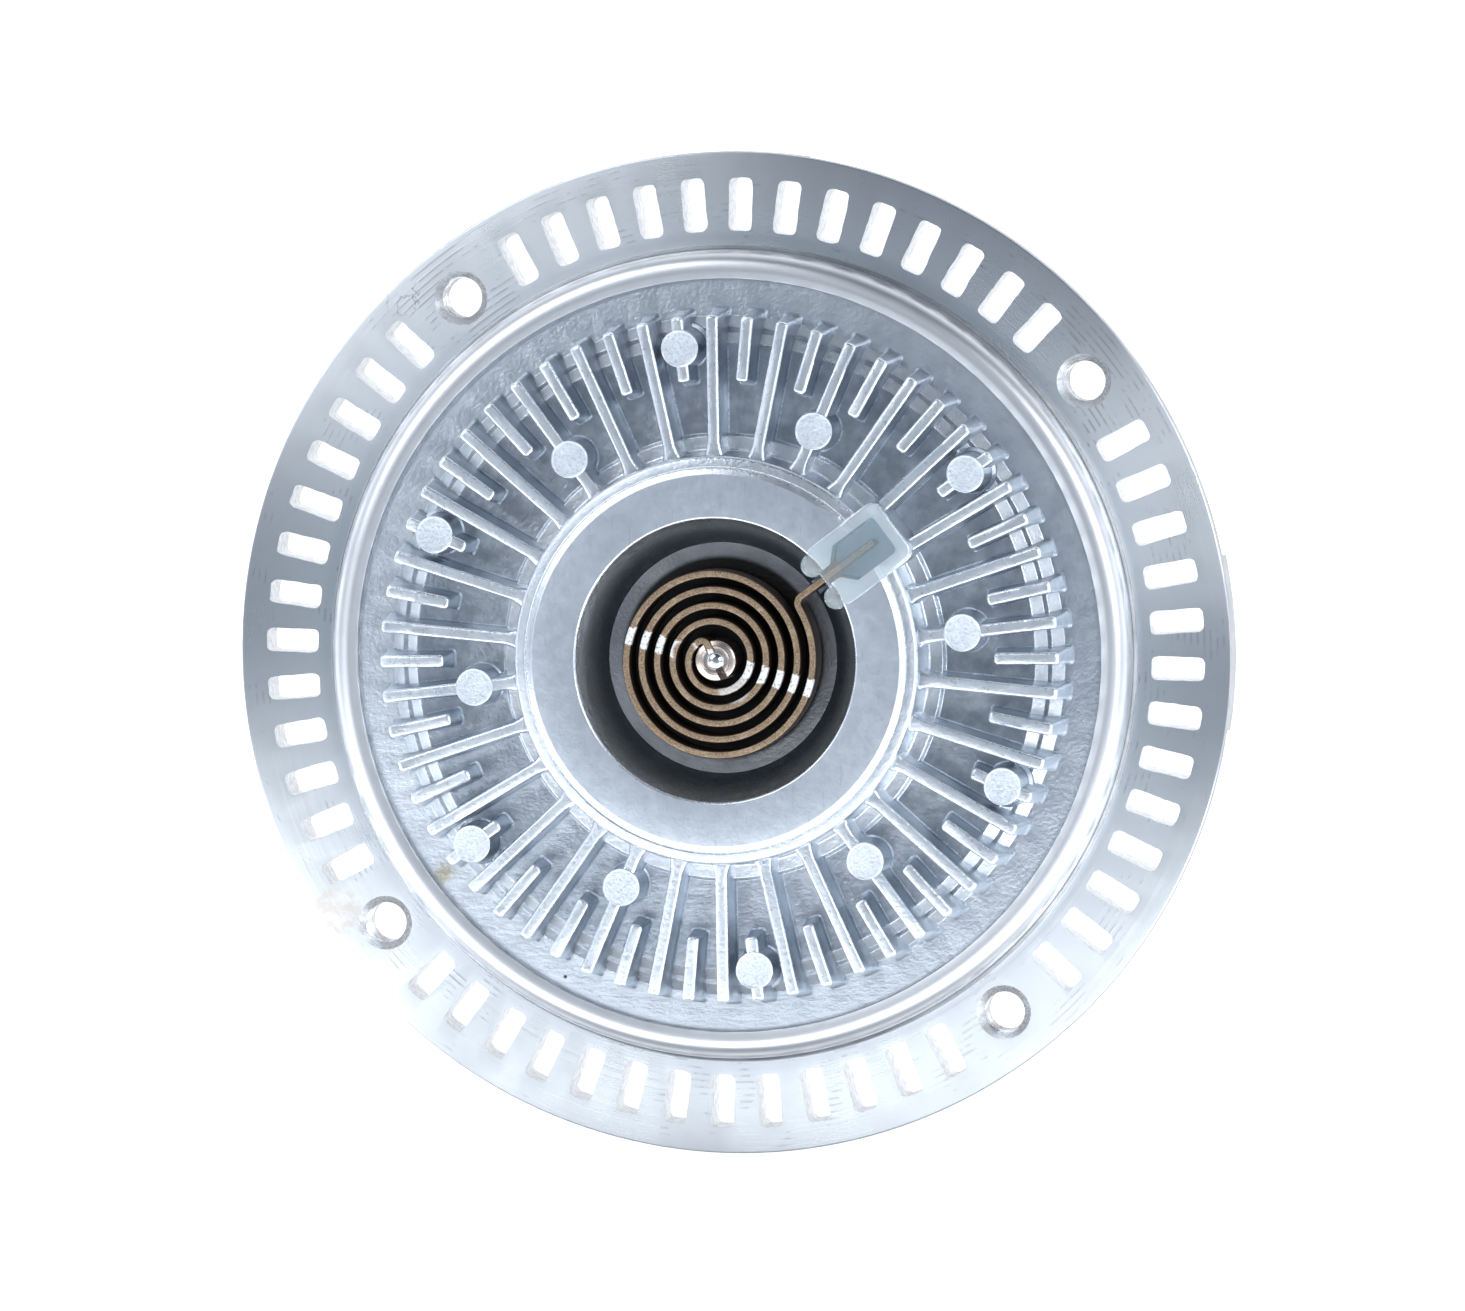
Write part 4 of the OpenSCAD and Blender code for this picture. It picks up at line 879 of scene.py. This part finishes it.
# Faces that slope between about 25 and 65 degrees, on edges, fillets and step risers alike, are painted pale
# and bluish: a painted highlight, not wear. They are also a little smoother.
edge_highlight = cast.facing().band(0.40, 0.90, 0.06) * (1 - recess)
edge_highlight = edge_highlight * (0.75 + cast.z.rise(52.5, 52.9) * 0.25)
smooth_top = cast.z.rise(62.0, 62.3)
scuffs = cast.noise(1.0, 3.0, 0.6, cast.stretched(2.2, 0.14, 1.0)).rise(0.64, 0.70) * smooth_top
cloud = cast.noise(0.06, 3.0, 0.5).rise(0.38, 0.62) * smooth_top
cover_colour = stained(
    cover_tone.tint((0.54, 0.59, 0.655), (0.72, 0.77, 0.83)),
    (pocket_shade * 0.6, pocket_shade_colour),
    (pocket_shade_blotches * 0.4, (0.20, 0.23, 0.275)),
    (ledge_highlight * 0.7, (0.84, 0.87, 0.91)),
    (outer_ring * mottle.rise(0.45, 0.7) * 0.4, (0.50, 0.54, 0.60)),
    (low_rim_shade * 0.5, (0.40, 0.435, 0.48)),
    (shoulder * 0.3, (0.40, 0.44, 0.49)),
    (pad_top * grit.rise(0.42, 0.68) * 0.6, (0.34, 0.37, 0.42)),
    (pits * 0.7, (0.16, 0.16, 0.17)),
    ((recess - recess_floor) * 0.95, recess_wall_shading),
    (recess_floor * 0.8, recess_floor_shade_colour),
    (shadow_under_coil * 0.95, (0.02, 0.018, 0.016)),
    (rust * 0.8, (0.34, 0.31, 0.22)),
    (nick, (0.03, 0.03, 0.03)),
    # The fin tops are painted lighter: a painted highlight.
    (fin_top * 0.4, (0.80, 0.85, 0.91)),
    (fin_wear * 0.55, (0.30, 0.335, 0.385)),
    (edge_highlight * 0.85, (0.88, 0.925, 0.98)),
    (smooth_top * 0.6, (0.84, 0.90, 0.98)),
    (scuffs * 0.35 + cloud * 0.14, (0.46, 0.50, 0.57)),
)
cover_relief = grain * (1 - smooth_top * 0.7) + flow * 0.8 + crumple * 2.5 + pad_top * grit * 2.0
cover_cast = cast.set(
    Base_Color=cover_colour,
    Metallic=1.0,
    Roughness=0.25 + grain * 0.10 + mottle * 0.08 - edge_highlight * 0.06,
    Normal=cast.bump(cover_relief, 0.09),
)
apply(cover, "WELD", merge_threshold=SLIVER_MM)
seat(cover, "driven", "cover_aluminium", [cover_cast], "front_cover")

# Bimetal coil. Flat strip wound on edge: its inner end sits in the slot of the valve shaft and
# its outer end in the resin. It is dull brown, with one straight stripe of white paint.
STRIP_T = 1.2
STRIP_Z = (55.8, 61.8)
SLOT_TURN = math.radians(117)
INNER_R, OUTER_R = 4.3, 16.8
INNER_BEND, OUTER_BEND = 1.1, 1.4
TAIL_END = 33.7
COIL_TURNS, COIL_STEPS, BEND_STEPS = 5, 300, 8
QUARTER = math.pi / 2


def polar(radius, turn):
    """A point by its radius and angle about the axis."""
    return Vector((radius * math.cos(turn), radius * math.sin(turn), 0))


def bend(middle, radius, turn0, turn1):
    """Points of an arc about a middle, from one angle to another."""
    turns = [turn0 + (turn1 - turn0) * i / BEND_STEPS for i in range(BEND_STEPS + 1)]
    return [middle + polar(radius, turn) for turn in turns]


bend_at = math.sqrt((INNER_R - INNER_BEND) ** 2 - INNER_BEND ** 2)
coil_start = SLOT_TURN + math.atan2(INNER_BEND, bend_at)
tail_turn = COVER_TAIL + math.tau * COIL_TURNS
coil_end = tail_turn - math.asin(OUTER_BEND / (OUTER_R + OUTER_BEND))
coil_line = [polar(0.6, SLOT_TURN)]
coil_line += bend(
    polar(bend_at, SLOT_TURN) + polar(INNER_BEND, SLOT_TURN + QUARTER),
    INNER_BEND, SLOT_TURN - QUARTER, coil_start,
)
for i in range(1, COIL_STEPS):
    share = i / COIL_STEPS
    radius = INNER_R + (OUTER_R - INNER_R) * share
    coil_line.append(polar(radius, coil_start + (coil_end - coil_start) * share))
coil_line += bend(
    polar(OUTER_R + OUTER_BEND, coil_end), OUTER_BEND, coil_end + math.pi, tail_turn + QUARTER,
)
coil_line.append(polar(TAIL_END, COVER_TAIL))
coil = drawn("bimetal_coil_strip", [p + Vector((0, 0, STRIP_Z[0])) for p in coil_line])
bpy.ops.mesh.select_all(action="SELECT")
bpy.ops.mesh.extrude_region_move(TRANSFORM_OT_translate={"value": (0, 0, STRIP_Z[1] - STRIP_Z[0])})
closed(coil)
apply(coil, "SOLIDIFY", thickness=STRIP_T, offset=0, use_even_offset=True)
apply(coil, "BEVEL", width=0.28, segments=3, limit_method="ANGLE", angle_limit=math.radians(50))

strip = Finish("bimetal_strip")
speckle = strip.noise(4.0, 3.0, 0.7)
rolled = strip.noise(0.5, 3.0, 0.6)
stripe_turn = math.radians(165)
along = strip.x * -math.sin(stripe_turn) + strip.y * math.cos(stripe_turn)
ragged = strip.noise(1.2, 3.0, 0.6) - 0.5
stripe = (along + ragged * 1.4).band(-1.4, 1.4, 0.25) * (1 - strip.spot(-5.2, 1.2, 2.0, 0.4))
inner_turn = strip.spot(3.2, -4.4, 2.6, 0.4)
painted = (1 - (1 - stripe) * (1 - inner_turn * 0.6)) * strip.z.rise(60.2, 61.4)
worn = painted * (1 - strip.noise(2.2, 3.0, 0.6).rise(0.53, 0.66) * 0.8)
bronze = speckle.rise(0.3, 0.7).tint((0.13, 0.09, 0.06), (0.42, 0.31, 0.21))
bronze = (rolled.rise(0.5, 0.75) * 0.6).tint(bronze, (0.48, 0.38, 0.27))
# Below its top edge and where it does not face up, the strip is painted nearly black: painted shade between
# the turns of the coil.
bronze = strip.z.rise(60.9, 61.65).tint((0.03, 0.022, 0.016), bronze)
bronze = strip.facing().rise(0.55, 0.97).tint((0.06, 0.042, 0.03), bronze)
bimetal = strip.set(
    Base_Color=worn.tint(bronze, (0.74, 0.75, 0.76)),
    Metallic=(1 - worn) * 0.75,
    Roughness=0.42 + speckle * 0.2,
    Normal=strip.bump(speckle + worn * 0.5, 0.04),
)
seat(coil, None, "bimetal", [bimetal], "bimetal_coil")
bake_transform(coil, "driven", "valve", (OUTER_R * MM, 0, 0), (INNER_R * MM, 0, 0))
for follow, vertex in zip(coil.data.attributes["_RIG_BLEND"].data, coil.data.vertices):
    radius = vertex.co.xy.length / MM
    follow.value = min(1, max(0, (OUTER_R - radius) / (OUTER_R - INNER_R)))

# Resin. Clear casting resin poured over the outer end of the coil: it fills the pocket, lies as
# a thin film on the boss and has run a little way down the wall of the recess.
FILM_SIZE = (15.2, 11.5, 0.6)
resin = block("coil_resin_poured", (30.7, -0.2, 62.45), FILM_SIZE)
bpy.ops.object.mode_set(mode="EDIT")
pick(resin, "EDGE", lambda e: upright(e, FILM_SIZE[2] / 2))
bpy.ops.mesh.bevel(offset=1.6, segments=4, affect="EDGES")
bpy.ops.object.mode_set(mode="OBJECT")
fill = prism("resin_fill", [
    (23.6, -1.25, 0.3), (25.5, -1.25, 0.8), (27.8, -3.55, 0.8), (36.05, -3.55, 1.0),
    (36.05, 3.55, 1.0), (27.8, 3.55, 0.8), (25.5, 1.25, 0.8), (23.6, 1.25, 0.3),
], 55.5, 7.1)
combine(resin, fill, "UNION")


def ball(middle, radii, segments):
    """A flattened ball about a middle."""
    only(None)
    bpy.ops.mesh.primitive_uv_sphere_add(segments=segments, ring_count=16, radius=1)
    piece = bpy.context.object
    piece.data.transform(Matrix.Translation(middle) @ Matrix.Diagonal((*radii, 1)))
    return piece


for side in (3.0, -3.6):
    combine(resin, ball((22.9, side, 60.9), (2.2, 2.1, 1.8), 24), "UNION")
apply(resin, "REMESH", mode="VOXEL", voxel_size=0.22)
apply(resin, "SMOOTH", factor=0.5, iterations=6)
moved(resin, COVER_TAIL)

poured = Finish("resin_clear")
cloud = poured.noise(0.4, 4.0).rise(0.35, 0.75)
tail_x = poured.x * math.cos(COVER_TAIL) + poured.y * math.sin(COVER_TAIL)
tail_y = poured.y * math.cos(COVER_TAIL) - poured.x * math.sin(COVER_TAIL)
deep = tail_x.band(26.8, 36.0, 0.5) * tail_y.band(-3.5, 3.5, 0.3)
film_colour = cloud.tint((0.92, 0.97, 0.98), (0.84, 0.91, 0.93))
resin_clear = poured.set(
    Base_Color=deep.tint(film_colour, (0.74, 0.88, 0.96)),
    Roughness=0.10 + cloud * 0.12,
    Transmission_Weight=0.80,
    IOR=1.5,
    Normal=poured.bump(poured.noise(0.7, 3.0), 0.06),
)
seat(resin, "driven", "resin", [resin_clear], "coil_resin", smooth=60)

# Valve shaft. Turned steel: its slotted head takes the inner end of the coil, which is staked
# there by a round bead, and its journal runs down through the cover to the valve arm.
JOURNAL_R, HEAD_R, GROOVE_R = 2.75, 3.5, 1.85
BEAD_TURN = math.radians(2)
valve_shaft = turned("valve_shaft_turned", [
    (0, 40.4, 0), (3.25, 40.4, 0.3), (3.25, 41.2, 0), (1.95, 41.2, 0), (1.95, 42.0, 0),
    (JOURNAL_R, 42.0, 0), (JOURNAL_R, 47.3, 0), (GROOVE_R, 47.3, 0), (GROOVE_R, 49.1, 0),
    (JOURNAL_R, 49.1, 0), (JOURNAL_R, 54.7, 0), (HEAD_R, 54.7, 0.2), (HEAD_R, 61.6, 0.45),
    (2.3, 61.9, 0.15), (2.1, 61.65, 0.1), (0, 61.65, 0),
], 64)
combine(valve_shaft, block("shaft_slot", (0, 0, 59.4), (14, 1.32, 8), SLOT_TURN), "DIFFERENCE")
bead = ball((0, 0, 61.5), (1.55, 1.55, 0.85), 32)
combine(valve_shaft, moved(bead, BEAD_TURN), "UNION")
head = Finish("valve_head_steel")
temper = head.noise(0.5, 3.0).rise(0.3, 0.7)
head_lines = head.noise(3.0, 2.0, 0.6, head.vector(head.r, head.z, 0.0))
bead_mask = 1 - head.r.rise(1.45, 1.65)
head_colour = temper.tint((0.62, 0.50, 0.44), (0.72, 0.66, 0.62))
valve_steel = head.set(
    Base_Color=bead_mask.tint(head_colour, (0.78, 0.79, 0.80)),
    Metallic=1.0,
    Roughness=0.22 + head_lines * 0.1 - bead_mask * 0.10,
    Normal=head.bump(head_lines, 0.02),
)
seat(valve_shaft, "valve", "shaft_steel", [valve_steel], "valve_shaft")
